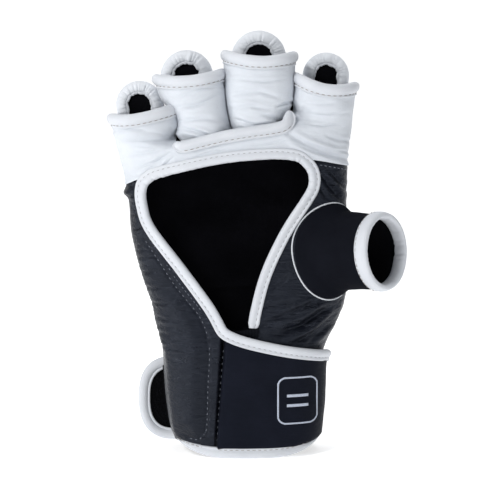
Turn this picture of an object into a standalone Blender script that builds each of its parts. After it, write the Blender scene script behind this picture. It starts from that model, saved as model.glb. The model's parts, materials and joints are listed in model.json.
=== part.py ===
"""A right-hand open-finger grappling glove with a wraparound wrist strap.

It stands on its wrist hem: +Z runs from the wrist to the fingertips, +X is the thumb side and -Y is the
palm side. The hand is a lofted sleeve; each leather panel, pad and lining is a layer of that sleeve, cut
to its own outline. Lengths are in millimetres up to the last step, where everything is put in metres.
"""

import math

import bmesh
import bpy
from mathutils import Vector

MM = 0.001

# ---------------------------------------------------------------- driving dimensions, mm
# The centre of the glove's box, in the hand's own frame, whose Z axis runs through the wrist.
CENTRE_X, CENTRE_Y = 3.56, -3.51

GAP = 0.3
LEATHER = 1.2
SECTION_POWER = 2.5
SLEEVE_STEP_DEG = 9
# Height, left edge, right edge, palm-side depth and back depth of the outer leather.
STATIONS = (
    (0, -38.0, 34.5, 23.5, 29.0),
    (14, -43.0, 36.0, 23.5, 29.0),
    (26, -45.0, 37.2, 23.5, 29.0),
    (58, -47.4, 40.5, 23.5, 29.0),
    (70, -49.0, 46.0, 22.6, 29.4),
    (81, -51.0, 50.5, 21.8, 30.0),
    (92, -55.3, 52.0, 20.9, 30.5),
    (103, -59.6, 52.0, 20.0, 30.8),
    (115, -63.0, 52.0, 19.2, 31.3),
    (136, -65.0, 51.5, 18.0, 33.5),
    (150, -67.5, 52.0, 17.5, 35.0),
    (165, -71.5, 53.0, 17.5, 35.0),
    (180, -75.5, 55.0, 17.5, 35.0),
)
# Thickness of the back padding from leather to lining, by height.
BACK_PADDING = ((0, 7.0), (70, 8.0), (115, 14.5), (136, 19.0), (180, 21.0))
SIDE_PADDING = 4.2
LINING_BEHIND_PALM = 4.5
LINING = 0.8

HEM_HEIGHT = 6.5
HEM_PROUD = 1.2
PAD_SPLIT_Z = 131.0

# Where the moving fingers meet the hand: right-hand end of each step, and the hand's top there.
HAND_TOP_STEPS = ((-40.8, 158.0), (-11.6, 166.0), (19.6, 169.0), (70.0, 166.0))
SEAM_LEFT, SEAM_INNER_LEFT = (-80.0, 136.0), (-59.0, 146.8)
SEAM_INNER_RIGHT, SEAM_RIGHT = (34.0, 157.0), (62.0, 151.5)

BINDING_WIDTH = 5.8
BINDING_PROUD = 1.0
BINDING_DEPTH = 3.0
# The palm opening's inner edge, from the foot of the V up the little-finger side and round.
OPENING = (
    (-11.3, 67.5), (-20.6, 82.9), (-34.5, 102.0), (-49.7, 122.0), (-53.5, 133.0), (-53.0, 142.5),
    (-44.0, 148.2), (-15.7, 154.9), (8.0, 157.3), (23.5, 156.4), (30.4, 149.5), (28.6, 139.3),
    (17.6, 122.5), (9.0, 106.5), (3.9, 93.5), (0.8, 80.0), (-0.7, 68.0),
)
HEEL_PAD = (
    (-50.0, 104.0), (-36.0, 86.5), (-27.5, 74.5), (-23.3, 62.0), (-22.6, 38.0), (-23.6, 14.0),
    (-28.0, 9.5), (-38.0, 11.0), (-41.0, 30.0), (-44.0, 62.0), (-47.5, 82.0), (-53.0, 98.0),
)
HEEL_PAD_THICKNESS = 2.6
SEAM_X = -16.0
GUSSET_RIGHT, GUSSET_TOP = 8.0, 67.0

BAR_LEFT, BAR_RIGHT = -38.6, 19.4
BAR_HEIGHT, BAR_PROUD, BAR_GAP = 6.8, 2.2, 0.8

THUMB_BASE = Vector((38.0, -6.3, 108.5))
THUMB_DIRECTION = Vector((0.88, -0.47, 0.03)).normalized()
THUMB_HOLE_HALF = (16.2, 25.0)
THUMB_SLEEVE_START, THUMB_SLEEVE_END = 4.0, 36.5
THUMB_SLEEVE_HALF = (12.6, 22.2)
THUMB_SLEEVE_WALL = 1.8
THUMB_RING_RADIUS, THUMB_RING_HOLE, THUMB_RING_WIDTH = 21.0, 16.8, 7.0

STRAP_GAP, STRAP_THICKNESS = 0.5, 2.7
STRAP_BOTTOM, STRAP_BINDING = 1.0, 6.5
THUMB_EDGE_T, BACK_LEFT_T = 350.0, 138.0
STRAP_EDGE_X, STRAP_EDGE_TOP, STRAP_RISE, STRAP_BACK_TOP = 40.0, 54.5, 12.5, 50.0
TAIL_LENGTH, TAIL_HALF_HEIGHT, TAIL_MID_Z = 20.6, 23.2, 24.4

# base x and z of the hinge, lean, half-widths at the root and at the loop, where the loop starts,
# the loop's top and its slope across the finger, and the pad's half-width and top, along the finger.
FINGERS = {
    "pinky": dict(x=-54.8, z=160.0, lean=-12.5, root=13.4, loop=14.4, start=9.5, top=22.6, slope=-1.2,
                  pad=11.4, tip=37.8),
    "ring": dict(x=-23.2, z=168.0, lean=-15.0, root=12.8, loop=16.2, start=17.5, top=36.2, slope=-1.8,
                 pad=13.0, tip=48.6),
    "middle": dict(x=4.0, z=171.0, lean=1.6, root=12.8, loop=17.0, start=19.5, top=41.6, slope=0.5,
                   pad=14.0, tip=54.8),
    "index": dict(x=37.6, z=168.0, lean=5.5, root=15.4, loop=16.0, start=11.0, top=31.2, slope=-1.4,
                  pad=12.4, tip=46.6),
}
FINGER_DEPTH = 17.0
LOOP_BINDING = 8.0
LOOP_OVERLAP_DEG = 6.0
PAD_START = 3.0
PAD_FRONT, PAD_BACK = 9.4, 22.6
PAD_CROWN = 4.0
PAD_COVER = 1.4

WHITE = (0.62, 0.66, 0.70)
BINDING_WHITE = (0.66, 0.69, 0.74)
BLACK = (0.028, 0.032, 0.045)
LINING_BLACK = (0.012, 0.012, 0.016)
FOAM_GREY = (0.18, 0.18, 0.19)


# ---------------------------------------------------------------- scene and object helpers
def clear_scene():
    for item in list(bpy.data.objects):
        bpy.data.objects.remove(item, do_unlink=True)
    for group in list(bpy.data.collections):
        bpy.data.collections.remove(group)


def collection(name):
    group = bpy.data.collections.new(name)
    bpy.context.scene.collection.children.link(group)
    return group


clear_scene()
PARTS = collection("open_finger_glove")
CUTTERS = collection("glove_cutters")


def empty(name, place, parent=None):
    """An empty at a place of the hand's frame, in mm, under another one."""
    item = bpy.data.objects.new(name, None)
    item.empty_display_size = 0.01
    offset = Vector(place) - (Vector(parent["place"]) if parent else Vector((0, 0, 0)))
    item.location = offset * MM
    item["place"] = tuple(place)
    item.parent = parent
    PARTS.objects.link(item)
    return item


ORIGIN = empty("glove_origin", (0, 0, 0))
ORIGIN.location = (-CENTRE_X * MM, -CENTRE_Y * MM, 0)
MATERIALS = {}


def material(name, colour, roughness, metallic=0.0):
    if name not in MATERIALS:
        made = bpy.data.materials.new(name)
        made.use_nodes = True
        shader = made.node_tree.nodes["Principled BSDF"]
        shader.inputs["Base Color"].default_value = (*colour, 1.0)
        shader.inputs["Roughness"].default_value = roughness
        shader.inputs["Metallic"].default_value = metallic
        MATERIALS[name] = made
    return MATERIALS[name]


def place_mesh(mesh, name, body, group):
    """Moves a mesh from the hand's frame, in mm, to its body's empty, in metres."""
    origin = Vector(body["place"])
    for vertex in mesh.vertices:
        vertex.co = (vertex.co - origin) * MM
    item = bpy.data.objects.new(name, mesh)
    item.parent = body
    group.objects.link(item)
    return item


def piece(name, mesh, body, look, colour, roughness):
    """A finished sub-part, with a material of its own."""
    item = place_mesh(mesh, name, body, PARTS)
    mesh.materials.append(material(f"{name}_{look}", colour, roughness))
    mesh.shade_smooth()
    mesh.set_sharp_from_angle(angle=math.radians(35))
    return item


def cutter(name, mesh):
    item = place_mesh(mesh, name, ORIGIN, CUTTERS)
    item.display_type = "WIRE"
    item.hide_render = True
    return item


def cut(item, tool, operation="DIFFERENCE"):
    modifier = item.modifiers.new(f"{operation.lower()}_{tool.name}", "BOOLEAN")
    modifier.operation = operation
    modifier.object = tool
    modifier.solver = "EXACT"


# ---------------------------------------------------------------- shape helpers
def smooth_step(t):
    t = min(1.0, max(0.0, t))
    return t * t * (3 - 2 * t)


def interpolate(table, z):
    """The values of a table's row at height z, by straight lines between its rows."""
    for low, high in zip(table, table[1:]):
        if z <= high[0] or high is table[-1]:
            t = (z - low[0]) / (high[0] - low[0])
            return [a + (b - a) * t for a, b in zip(low[1:], high[1:])]


def power(value):
    return math.copysign(abs(value) ** (2 / SECTION_POWER), value)


def sleeve_point(t, z, inset=0.0, side=None):
    """A point of the hand's outer leather at angle t (0 thumb side, 90 back, 270 palm), moved inwards."""
    left, right, palm, back = interpolate(STATIONS, z)
    half = (right - left) / 2 - (inset if side is None else side)
    depth = (back if math.sin(math.radians(t)) > 0 else palm) - inset
    x = (left + right) / 2 + half * power(math.cos(math.radians(t)))
    return Vector((x, depth * power(math.sin(math.radians(t))), z))


def padding_point(t, z, extra=0.0):
    """A point of the back padding's inner face, or inside it by extra."""
    (thickness,) = interpolate(BACK_PADDING, z)
    return sleeve_point(t, z, thickness + extra, SIDE_PADDING + extra)


def lining_point(t, z, extra=0.0):
    if math.sin(math.radians(t)) > 0:
        return padding_point(t, z, GAP + extra)
    return sleeve_point(t, z, LINING_BEHIND_PALM + extra, SIDE_PADDING + GAP + extra)


def angle_at(x, z):
    """The palm-side angle at which the outer leather passes x."""
    left, right, _, _ = interpolate(STATIONS, z)
    ratio = (x - (left + right) / 2) / ((right - left) / 2)
    return 360 - math.degrees(math.acos(math.copysign(abs(ratio) ** (SECTION_POWER / 2), ratio)))


def spread(start, end, count):
    return [start + (end - start) * i / count for i in range(count + 1)]


def thick_grid(name, outer, inner, ring=False):
    """A closed solid between two grids of points; a ring's rows close on themselves."""
    rows, columns = len(outer), len(outer[0])
    mesh = bpy.data.meshes.new(name)
    bm = bmesh.new()
    skins = [[[bm.verts.new(p) for p in row] for row in grid] for grid in (outer, inner)]
    last = columns if ring else columns - 1
    for skin, turned in zip(skins, (False, True)):
        for i in range(rows - 1):
            for j in range(last):
                k = (j + 1) % columns
                face = [skin[i][j], skin[i][k], skin[i + 1][k], skin[i + 1][j]]
                bm.faces.new(face[::-1] if turned else face)
    front, back = skins
    for j in range(last):
        k = (j + 1) % columns
        bm.faces.new([front[0][k], front[0][j], back[0][j], back[0][k]])
        bm.faces.new([front[-1][j], front[-1][k], back[-1][k], back[-1][j]])
    if not ring:
        for i in range(rows - 1):
            bm.faces.new([front[i][0], front[i + 1][0], back[i + 1][0], back[i][0]])
            bm.faces.new([front[i + 1][-1], front[i][-1], back[i][-1], back[i + 1][-1]])
    bmesh.ops.recalc_face_normals(bm, faces=bm.faces)
    bm.to_mesh(mesh)
    bm.free()
    return mesh


def smooth_line(points, steps=4):
    """A Catmull-Rom curve through the points, from the first to the last."""
    ends = [points[0], *points, points[-1]]
    line = []
    for a, b, c, d in zip(ends, ends[1:], ends[2:], ends[3:]):
        a, b, c, d = (Vector(p) for p in (a, b, c, d))
        for i in range(steps):
            t = i / steps
            line.append(0.5 * (2 * b + (c - a) * t + (2 * a - 5 * b + 4 * c - d) * t**2
                               + (3 * b - a - 3 * c + d) * t**3))
    line.append(Vector(points[-1]))
    return line


def grown(outline, distance):
    """A closed outline moved outwards, or inwards by a negative distance."""
    points = [Vector(p) for p in outline]
    area = sum(a.x * b.y - b.x * a.y for a, b in zip(points, points[1:] + points[:1]))
    side = distance if area > 0 else -distance
    moved = []
    for before, here, after in zip(points[-1:] + points[:-1], points, points[1:] + points[:1]):
        into, away = (here - before).normalized(), (after - here).normalized()
        normal_in, normal_out = Vector((into.y, -into.x)), Vector((away.y, -away.x))
        mitre = (normal_in + normal_out).normalized()
        moved.append(here + mitre * side / max(0.5, mitre.dot(normal_in)))
    return moved


def prism(name, outline, low, high, direction=Vector((0, 1, 0)), origin=Vector((0, 0, 0))):
    """A solid whose flat outline faces along a direction, between two distances from an origin."""
    curve = bpy.data.curves.new(name, "CURVE")
    curve.dimensions = "2D"
    curve.fill_mode = "BOTH"
    curve.extrude = (high - low) / 2
    spline = curve.splines.new("POLY")
    spline.points.add(len(outline) - 1)
    for point, place in zip(spline.points, outline):
        point.co = (place[0], place[1], 0, 1)
    spline.use_cyclic_u = True
    flat = bpy.data.objects.new(name, curve)
    CUTTERS.objects.link(flat)
    bpy.context.view_layer.update()
    mesh = bpy.data.meshes.new_from_object(flat.evaluated_get(bpy.context.evaluated_depsgraph_get()))
    bpy.data.objects.remove(flat)
    across = direction.cross(Vector((0, 0, 1))).normalized()
    upward = across.cross(direction)
    for vertex in mesh.vertices:
        x, y, z = vertex.co
        vertex.co = origin + across * x + upward * y + direction * (z + (low + high) / 2)
    bm = bmesh.new()
    bm.from_mesh(mesh)
    bmesh.ops.remove_doubles(bm, verts=bm.verts, dist=0.001)
    bmesh.ops.recalc_face_normals(bm, faces=bm.faces)
    bm.to_mesh(mesh)
    bm.free()
    mesh.materials.clear()
    return mesh


def between(start, end, marks):
    """Start, end, and the marks that lie well between them."""
    near = (end - start) * 0.02
    return [start, *(m for m in marks if start + near < m < end - near), end]


def layer(name, low, high, start, end, outer, inner, rows=None, ring=False):
    """A layer of the sleeve between two angles and two heights, given as numbers or functions of angle.

    All layers share the same angles and, unless rows are given, the same heights, so they nest.
    """
    angles = between(start, end, spread(0, 720, 720 // SLEEVE_STEP_DEG))
    if ring:
        angles = angles[:-1]
    if rows:
        shares = spread(0.0, 1.0, rows)
        heights = [[low(t) + (high(t) - low(t)) * share for t in angles] for share in shares]
    else:
        marks = between(low, high, [station[0] for station in STATIONS])
        heights = [[z] * len(angles) for z in marks]
    grids = [[[skin(t, z) for t, z in zip(angles, row)] for row in heights] for skin in (outer, inner)]
    return thick_grid(name, *grids, ring=ring)


def at(depth):
    """The sleeve's surface at one depth below the outer leather."""
    return lambda t, z: sleeve_point(t, z, depth)


# ---------------------------------------------------------------- outlines and cutters
PALM_EDGE_DEG = 0.6
PALM_START, PALM_END = 180 + PALM_EDGE_DEG, 360 - PALM_EDGE_DEG
BACK_START, BACK_END = PALM_EDGE_DEG, 180 - PALM_EDGE_DEG
FAR = 95.0
ABOVE = 200.0


def hand_top():
    """The stepped top edge of the hand, from the little-finger side to the thumb side."""
    points, left = [], -FAR
    for right, top in HAND_TOP_STEPS:
        points += [(left, top), (right, top)]
        left = right
    return points


def bar_low(x):
    return 162.6 + (x + 30.0) * 0.18


def make_cutters():
    opening = smooth_line(OPENING)
    edge = grown(opening, BINDING_WIDTH)
    palm = dict(low=-60.0, high=-0.2)
    tools = {
        "opening_hole": prism("opening_hole", opening, **palm),
        "opening_binding": prism("opening_binding_edge", edge, **palm),
        "opening_clear": prism("opening_clearance", grown(opening, BINDING_WIDTH + GAP), **palm),
        "heel_pad": prism("heel_pad_outline", smooth_line([*HEEL_PAD, HEEL_PAD[0]])[:-1], **palm),
    }
    seam = [SEAM_LEFT, SEAM_INNER_LEFT, SEAM_INNER_RIGHT, SEAM_RIGHT]
    low_seam = [(x, z - GAP) for x, z in seam]
    tools["palm_region"] = prism(
        "palm_panel_outline",
        [*seam, (62.0, 166.0), (BAR_RIGHT + BAR_GAP, 166.0),
         (BAR_RIGHT + BAR_GAP, bar_low(BAR_RIGHT) - BAR_GAP),
         (BAR_LEFT - BAR_GAP, bar_low(BAR_LEFT) - BAR_GAP), (BAR_LEFT - BAR_GAP, 158.0), (-80.0, 158.0)],
        **palm,
    )
    tools["pinky_region"] = prism(
        "pinky_side_outline",
        [(-80.0, 0.0), (SEAM_X, 0.0), (SEAM_X, 80.0), (-30.0, 130.0), low_seam[1], low_seam[0]],
        **palm,
    )
    tools["thumb_region"] = prism(
        "thumb_side_outline",
        [(GUSSET_RIGHT + GAP, 0.0), (70.0, 0.0), (70.0, low_seam[3][1]), low_seam[3], low_seam[2],
         (12.0, 130.0), (GUSSET_RIGHT + GAP, 70.0)],
        **palm,
    )
    left, right = SEAM_X + GAP, GUSSET_RIGHT
    tools["gusset_region"] = prism("gusset_outline", [(left, 0), (right, 0), (right, 80), (left, 80)], **palm)
    tools["above_hand"] = prism("above_hand", [*hand_top(), (70.0, ABOVE), (-FAR, ABOVE)], -60.0, 60.0)
    ellipse = [(math.cos(a), math.sin(a)) for a in (math.tau * i / 40 for i in range(40))]
    for name, extra in (("thumb_hole", -1.0), ("thumb_piping", 1.0), ("thumb_clear", 1.0 + GAP)):
        wide, tall = (half + extra for half in THUMB_HOLE_HALF)
        outline = [(wide * c, tall * s) for c, s in ellipse]
        tools[name] = prism(name + "_outline", outline, -13.0, 30.0, THUMB_DIRECTION, THUMB_BASE)
    return {name: cutter(mesh.name, mesh) for name, mesh in tools.items()}


# ---------------------------------------------------------------- hand
def make_hand(hand, tools):
    def palm_layer(name, low, high, outer, inner):
        return layer(name, low, high, PALM_START, PALM_END, at(outer), at(inner))

    def back_layer(name, low, high, outer, inner):
        return layer(name, low, high, BACK_START, BACK_END, outer, inner)

    leather_low = HEM_HEIGHT + GAP
    for name, region, low, high, colour in (
        ("palm_panel", "palm_region", 134.0, 176.0, WHITE),
        ("pinky_side_panel", "pinky_region", leather_low, 149.0, BLACK),
        ("thumb_side_panel", "thumb_region", leather_low, 160.0, BLACK),
    ):
        mesh = palm_layer(name, low, high, 0.0, LEATHER)
        panel = piece(name, mesh, hand, "leather", colour, 0.5)
        cut(panel, tools[region], "INTERSECT")
        cut(panel, tools["opening_clear"])
        if name == "thumb_side_panel":
            cut(panel, tools["thumb_clear"])

    mesh = palm_layer("palm_opening_binding", 69.0, 168.0, -BINDING_PROUD, BINDING_DEPTH)
    binding = piece("palm_opening_binding", mesh, hand, "leather", BINDING_WHITE, 0.5)
    cut(binding, tools["opening_binding"], "INTERSECT")
    cut(binding, tools["opening_hole"])

    mesh = palm_layer("heel_pad", 8.0, 106.0, LEATHER + GAP, LEATHER + GAP + HEEL_PAD_THICKNESS)
    heel = piece("heel_pad", mesh, hand, "foam", FOAM_GREY, 0.9)
    cut(heel, tools["heel_pad"], "INTERSECT")
    cut(heel, tools["opening_clear"])

    mesh = palm_layer("wrist_gusset", leather_low, GUSSET_TOP, 0.2, LEATHER)
    gusset = piece("wrist_gusset", mesh, hand, "elastic", LINING_BLACK, 0.8)
    cut(gusset, tools["gusset_region"], "INTERSECT")
    cut(gusset, tools["opening_clear"])

    def bar_edge(extra):
        return lambda t: bar_low(sleeve_point(t, 170.0).x) + extra

    start, end = angle_at(BAR_LEFT, 170.0), angle_at(BAR_RIGHT, 170.0)
    mesh = layer("finger_bar_binding", bar_edge(0.0), bar_edge(BAR_HEIGHT), start, end, at(-BAR_PROUD),
                 at(LEATHER), rows=2)
    piece("finger_bar_binding", mesh, hand, "leather", BINDING_WHITE, 0.5)

    lining = layer("hand_lining", leather_low, 157.0, 0, 360, lining_point,
                   lambda t, z: lining_point(t, z, LINING), ring=True)
    item = piece("hand_lining", lining, hand, "knit", LINING_BLACK, 0.95)
    cut(item, tools["opening_clear"])
    cut(item, tools["thumb_hole"])

    for name, low, high in (("back", leather_low, PAD_SPLIT_Z), ("knuckle", PAD_SPLIT_Z + 0.5, 172.0)):
        colour = BLACK if name == "back" else WHITE
        mesh = back_layer(f"{name}_cover", low, high, at(0.0), at(LEATHER))
        cover = piece(f"{name}_cover", mesh, hand, "leather", colour, 0.5)
        mesh = back_layer(f"{name}_foam", low + 1.0, high - 1.0, at(LEATHER + GAP), padding_point)
        foam = piece(f"{name}_foam", mesh, hand, "foam", FOAM_GREY, 0.9)
        if name == "back":
            cut(cover, tools["thumb_clear"])
            cut(foam, tools["thumb_clear"])
        else:
            cut(cover, tools["above_hand"])
            cut(foam, tools["above_hand"])

    mesh = layer("thumb_seam_piping", 76.0, 142.0, 270, 450, at(-0.8), at(LEATHER))
    piping = piece("thumb_seam_piping", mesh, hand, "leather", BINDING_WHITE, 0.5)
    cut(piping, tools["thumb_piping"], "INTERSECT")
    cut(piping, tools["thumb_hole"])

    mesh = layer("cuff_hem_binding", 0.0, HEM_HEIGHT, 0, 360, at(-0.2), at(LEATHER + 1.6), ring=True)
    piece("cuff_hem_binding", mesh, hand, "leather", BINDING_WHITE, 0.5)

    mesh = layer("loop_patch", 9.0, 45.0, 153.0, 176.0, at(-1.1), at(-GAP))
    piece("loop_patch", mesh, hand, "loops", LINING_BLACK, 0.95)


# ---------------------------------------------------------------- fingers
def finger_point(finger, across, y, along):
    """A point of a finger, from its place across the finger, its depth and its distance up it."""
    lean = math.radians(finger["lean"])
    turn = lean * smooth_step(along / 18.0)
    x = finger["x"] + along * math.sin(lean) + across * math.cos(turn)
    return Vector((x, y, finger["z"] + along * math.cos(lean) - across * math.sin(turn)))


def loop_mesh(name, finger, low, high, outer, inner, rows):
    """A strip round the palm side of a finger, open towards its pad."""
    angles = spread(180 - LOOP_OVERLAP_DEG, 360 + LOOP_OVERLAP_DEG, 16)

    def grid(inset):
        lines = []
        for step in spread(0.0, 1.0, rows):
            line = []
            for t in angles:
                c, s = power(math.cos(math.radians(t))), power(math.sin(math.radians(t)))
                along = low(c) + (high(c) - low(c)) * step
                half = finger["root"] + (finger["loop"] - finger["root"]) * smooth_step((along - 12) / 18)
                line.append(finger_point(finger, (half - inset) * c, (FINGER_DEPTH - inset) * s, along))
            lines.append(line)
        return lines

    return thick_grid(name, grid(outer), grid(inner))


def tongue_mesh(name, finger, shrink, front, back):
    """A round-topped plate, crowned across the finger."""
    half, tip, start = finger["pad"] - shrink, finger["tip"] - shrink, PAD_START + shrink * 0.5
    columns, rows = 10, 5

    def grid(depth):
        lines = []
        for step in spread(0.0, 1.0, rows):
            line = []
            for i in range(columns + 1):
                a = math.sin(math.pi / 2 * (2 * i / columns - 1))
                top = tip - half * (1 - math.sqrt(max(0.0, 1 - 0.97 * a * a)))
                along = start + (top - start) * step
                crown = PAD_CROWN * (half * a / finger["pad"]) ** 2
                line.append(finger_point(finger, half * a, depth - crown, along))
            lines.append(line)
        return lines

    return thick_grid(name, grid(back), grid(front))


def make_finger(key, finger, hand):
    body = empty(f"{key}_body", (finger["x"], 0, finger["z"]), hand)

    def top(c):
        return finger["top"] + finger["slope"] * c

    mesh = loop_mesh(f"{key}_loop", finger, lambda c: finger["start"],
                     lambda c: top(c) - LOOP_BINDING - GAP, 0.0, LEATHER, 3)
    piece(f"{key}_loop", mesh, body, "leather", WHITE, 0.5)
    mesh = loop_mesh(f"{key}_loop_binding", finger, lambda c: top(c) - LOOP_BINDING, top, -0.6,
                     LEATHER + 0.6, 1)
    piece(f"{key}_loop_binding", mesh, body, "leather", BINDING_WHITE, 0.5)

    mesh = tongue_mesh(f"{key}_pad_cover", finger, 0.0, PAD_FRONT - 0.8, PAD_BACK)
    cover = piece(f"{key}_pad_cover", mesh, body, "leather", WHITE, 0.5)
    mesh = tongue_mesh(f"{key}_pad_pocket", finger, PAD_COVER, PAD_FRONT - 12.0, PAD_BACK - PAD_COVER)
    cut(cover, cutter(f"{key}_pad_pocket", mesh))
    mesh = tongue_mesh(f"{key}_pad_foam", finger, PAD_COVER + GAP, PAD_FRONT + LINING + GAP,
                       PAD_BACK - PAD_COVER - GAP)
    piece(f"{key}_pad_foam", mesh, body, "foam", FOAM_GREY, 0.9)
    mesh = tongue_mesh(f"{key}_pad_lining", finger, PAD_COVER + GAP, PAD_FRONT, PAD_FRONT + LINING)
    piece(f"{key}_pad_lining", mesh, body, "knit", LINING_BLACK, 0.95)


# ---------------------------------------------------------------- thumb
def make_thumb(hand):
    body = empty("thumb_body", THUMB_BASE, hand)
    across = THUMB_DIRECTION.cross(Vector((0, 0, 1))).normalized()
    upward = across.cross(THUMB_DIRECTION)
    columns = 28

    def ring(along, wide, tall):
        centre = THUMB_BASE + THUMB_DIRECTION * along
        turns = [math.tau * i / columns for i in range(columns)]
        return [centre + across * wide * math.cos(a) + upward * tall * math.sin(a) for a in turns]

    def tube(name, start, end, first, last, wall, rows):
        def grid(inset):
            lines = []
            for step in spread(0.0, 1.0, rows):
                wide, tall = (a + (b - a) * smooth_step(step) - inset for a, b in zip(first, last))
                lines.append(ring(start + (end - start) * step, wide, tall))
            return lines

        return thick_grid(name, grid(0.0), grid(wall), ring=True)

    ring_start = THUMB_SLEEVE_END - THUMB_RING_WIDTH
    mouth = THUMB_RING_RADIUS - 1.6
    mesh = tube("thumb_sleeve", THUMB_SLEEVE_START, ring_start - GAP, THUMB_SLEEVE_HALF, (mouth, mouth),
                THUMB_SLEEVE_WALL, 5)
    piece("thumb_sleeve", mesh, body, "neoprene", BLACK, 0.9)
    round_ring = (THUMB_RING_RADIUS, THUMB_RING_RADIUS)
    mesh = tube("thumb_binding", ring_start, THUMB_SLEEVE_END, round_ring, round_ring,
                THUMB_RING_RADIUS - THUMB_RING_HOLE, 1)
    piece("thumb_binding", mesh, body, "leather", BINDING_WHITE, 0.5)


# ---------------------------------------------------------------- strap
def strap_top(t):
    """The strap's top edge: it falls from the foot of the V to the thumb edge, and a little behind."""
    x = sleeve_point(t, STRAP_BACK_TOP).x
    away = max(0.0, STRAP_EDGE_X - x)
    if 180 < t < 360:
        return STRAP_EDGE_TOP + STRAP_RISE * (away / (STRAP_EDGE_X - SEAM_X)) ** 1.5
    return STRAP_EDGE_TOP - (STRAP_EDGE_TOP - STRAP_BACK_TOP) * smooth_step(away / (2 * STRAP_EDGE_X))


def make_strap_section(key, body, start, end):
    """One section of the strap: its leather between a top and a bottom binding."""

    def above_bottom(distance):
        return lambda t: STRAP_BOTTOM + distance

    def below_top(distance):
        return lambda t: strap_top(t) - distance

    proud = STRAP_GAP + STRAP_THICKNESS
    inside = STRAP_BINDING + GAP
    bands = (
        ("panel", above_bottom(inside), below_top(inside), proud, BLACK, 3),
        ("top_binding", below_top(STRAP_BINDING), below_top(0), proud + 0.4, BINDING_WHITE, 1),
        ("hem_binding", above_bottom(0), above_bottom(STRAP_BINDING), proud + 0.4, BINDING_WHITE, 1),
    )
    for part, low, high, outside, colour, rows in bands:
        mesh = layer(f"{key}_{part}", low, high, start, end, at(-outside), at(-STRAP_GAP), rows=rows)
        piece(f"{key}_{part}", mesh, body, "leather", colour, 0.5)


def tail_outline(inset):
    """A rounded end, straight at its root, shrunk by an inset on its other sides."""
    root = TAIL_ROOT.x - 0.4
    long, tall = TAIL_LENGTH - inset, TAIL_HALF_HEIGHT - inset
    points = []
    for a in spread(-90.0, 90.0, 16):
        c, s = math.cos(math.radians(a)), math.sin(math.radians(a))
        points.append((root - long * abs(c) ** 0.75, TAIL_MID_Z + tall * math.copysign(abs(s) ** 0.75, s)))
    return points


def make_strap_tail(body):
    near = TAIL_ROOT.y - STRAP_THICKNESS
    rim = prism("strap_tail_binding", tail_outline(0.0), near - 0.3, TAIL_ROOT.y + 0.1)
    item = piece("strap_tail_binding", rim, body, "leather", BINDING_WHITE, 0.5)
    inside = tail_outline(STRAP_BINDING)
    root = TAIL_ROOT.x + 5.0
    inside = [(root, inside[0][1]), *inside, (root, inside[-1][1])]
    cut(item, cutter("strap_tail_inside", prism("strap_tail_inside", inside, near - 5, near + 10)))
    mesh = prism("strap_tail_panel", tail_outline(STRAP_BINDING + GAP), near, TAIL_ROOT.y - 0.2)
    piece("strap_tail_panel", mesh, body, "leather", BLACK, 0.5)
    mesh = prism("hook_patch", tail_outline(STRAP_BINDING + 1.5), near - 1.1, near - GAP)
    piece("hook_patch", mesh, body, "hooks", LINING_BLACK, 0.95)


TOOLS = make_cutters()
HAND = empty("hand_body", (0, 0, 0), ORIGIN)
make_hand(HAND, TOOLS)
for finger_name, finger_sizes in FINGERS.items():
    make_finger(finger_name, finger_sizes, HAND)
make_thumb(HAND)

STRAP_SKIN = STRAP_GAP + STRAP_THICKNESS + 0.4
SEAM_T = angle_at(SEAM_X, 40.0)
# Each fold's upright axis touches the strap's outside at its widest height.
SEAM_HINGE = sleeve_point(SEAM_T, 30.0, -STRAP_SKIN)
THUMB_EDGE = sleeve_point(THUMB_EDGE_T, 55.0, -STRAP_SKIN)
TAIL_ROOT = sleeve_point(BACK_LEFT_T, STRAP_BACK_TOP, -STRAP_SKIN)
STRAP_FRONT = empty("strap_front_body", SEAM_HINGE, HAND)
STRAP_WRAP = empty("strap_wrap_body", THUMB_EDGE, STRAP_FRONT)
STRAP_TAIL = empty("strap_tail_body", TAIL_ROOT, STRAP_WRAP)
make_strap_section("strap_front", STRAP_FRONT, SEAM_T + 0.3, THUMB_EDGE_T - 0.4)
make_strap_section("strap_wrap", STRAP_WRAP, THUMB_EDGE_T + 0.4, 360 + BACK_LEFT_T - 0.4)
make_strap_tail(STRAP_TAIL)
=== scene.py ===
"""Looks of an open-finger grappling glove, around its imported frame.

Shapes are worked out in the hand's frame, in millimetres: +Z from the wrist to the fingertips, +X to
the thumb side, -Y out of the palm. make() and point() put them in the row frame, in metres.
"""

import json
import math

import bpy
import numpy as np
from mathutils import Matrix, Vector, noise


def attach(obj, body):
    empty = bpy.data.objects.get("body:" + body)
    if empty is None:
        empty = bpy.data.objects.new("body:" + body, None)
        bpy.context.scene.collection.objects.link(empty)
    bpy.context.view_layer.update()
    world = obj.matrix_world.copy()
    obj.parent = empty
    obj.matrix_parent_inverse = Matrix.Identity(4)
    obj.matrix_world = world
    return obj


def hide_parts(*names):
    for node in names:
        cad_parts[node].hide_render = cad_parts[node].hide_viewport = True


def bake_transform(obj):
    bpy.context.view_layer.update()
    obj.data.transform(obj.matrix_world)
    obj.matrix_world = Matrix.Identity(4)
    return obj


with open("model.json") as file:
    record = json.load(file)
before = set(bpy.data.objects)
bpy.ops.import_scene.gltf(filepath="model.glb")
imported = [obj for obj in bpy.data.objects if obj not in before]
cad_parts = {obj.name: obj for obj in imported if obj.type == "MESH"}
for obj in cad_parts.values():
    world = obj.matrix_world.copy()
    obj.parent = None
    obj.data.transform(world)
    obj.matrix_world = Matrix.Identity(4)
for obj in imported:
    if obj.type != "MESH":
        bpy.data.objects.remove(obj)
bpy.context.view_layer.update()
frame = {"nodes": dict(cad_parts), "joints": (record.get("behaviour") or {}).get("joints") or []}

MM = 0.001
JOINTS = {joint["name"]: joint for joint in frame["joints"]}
MIDDLE_HINGE = (4.0, 0.0, 171.0)
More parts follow.
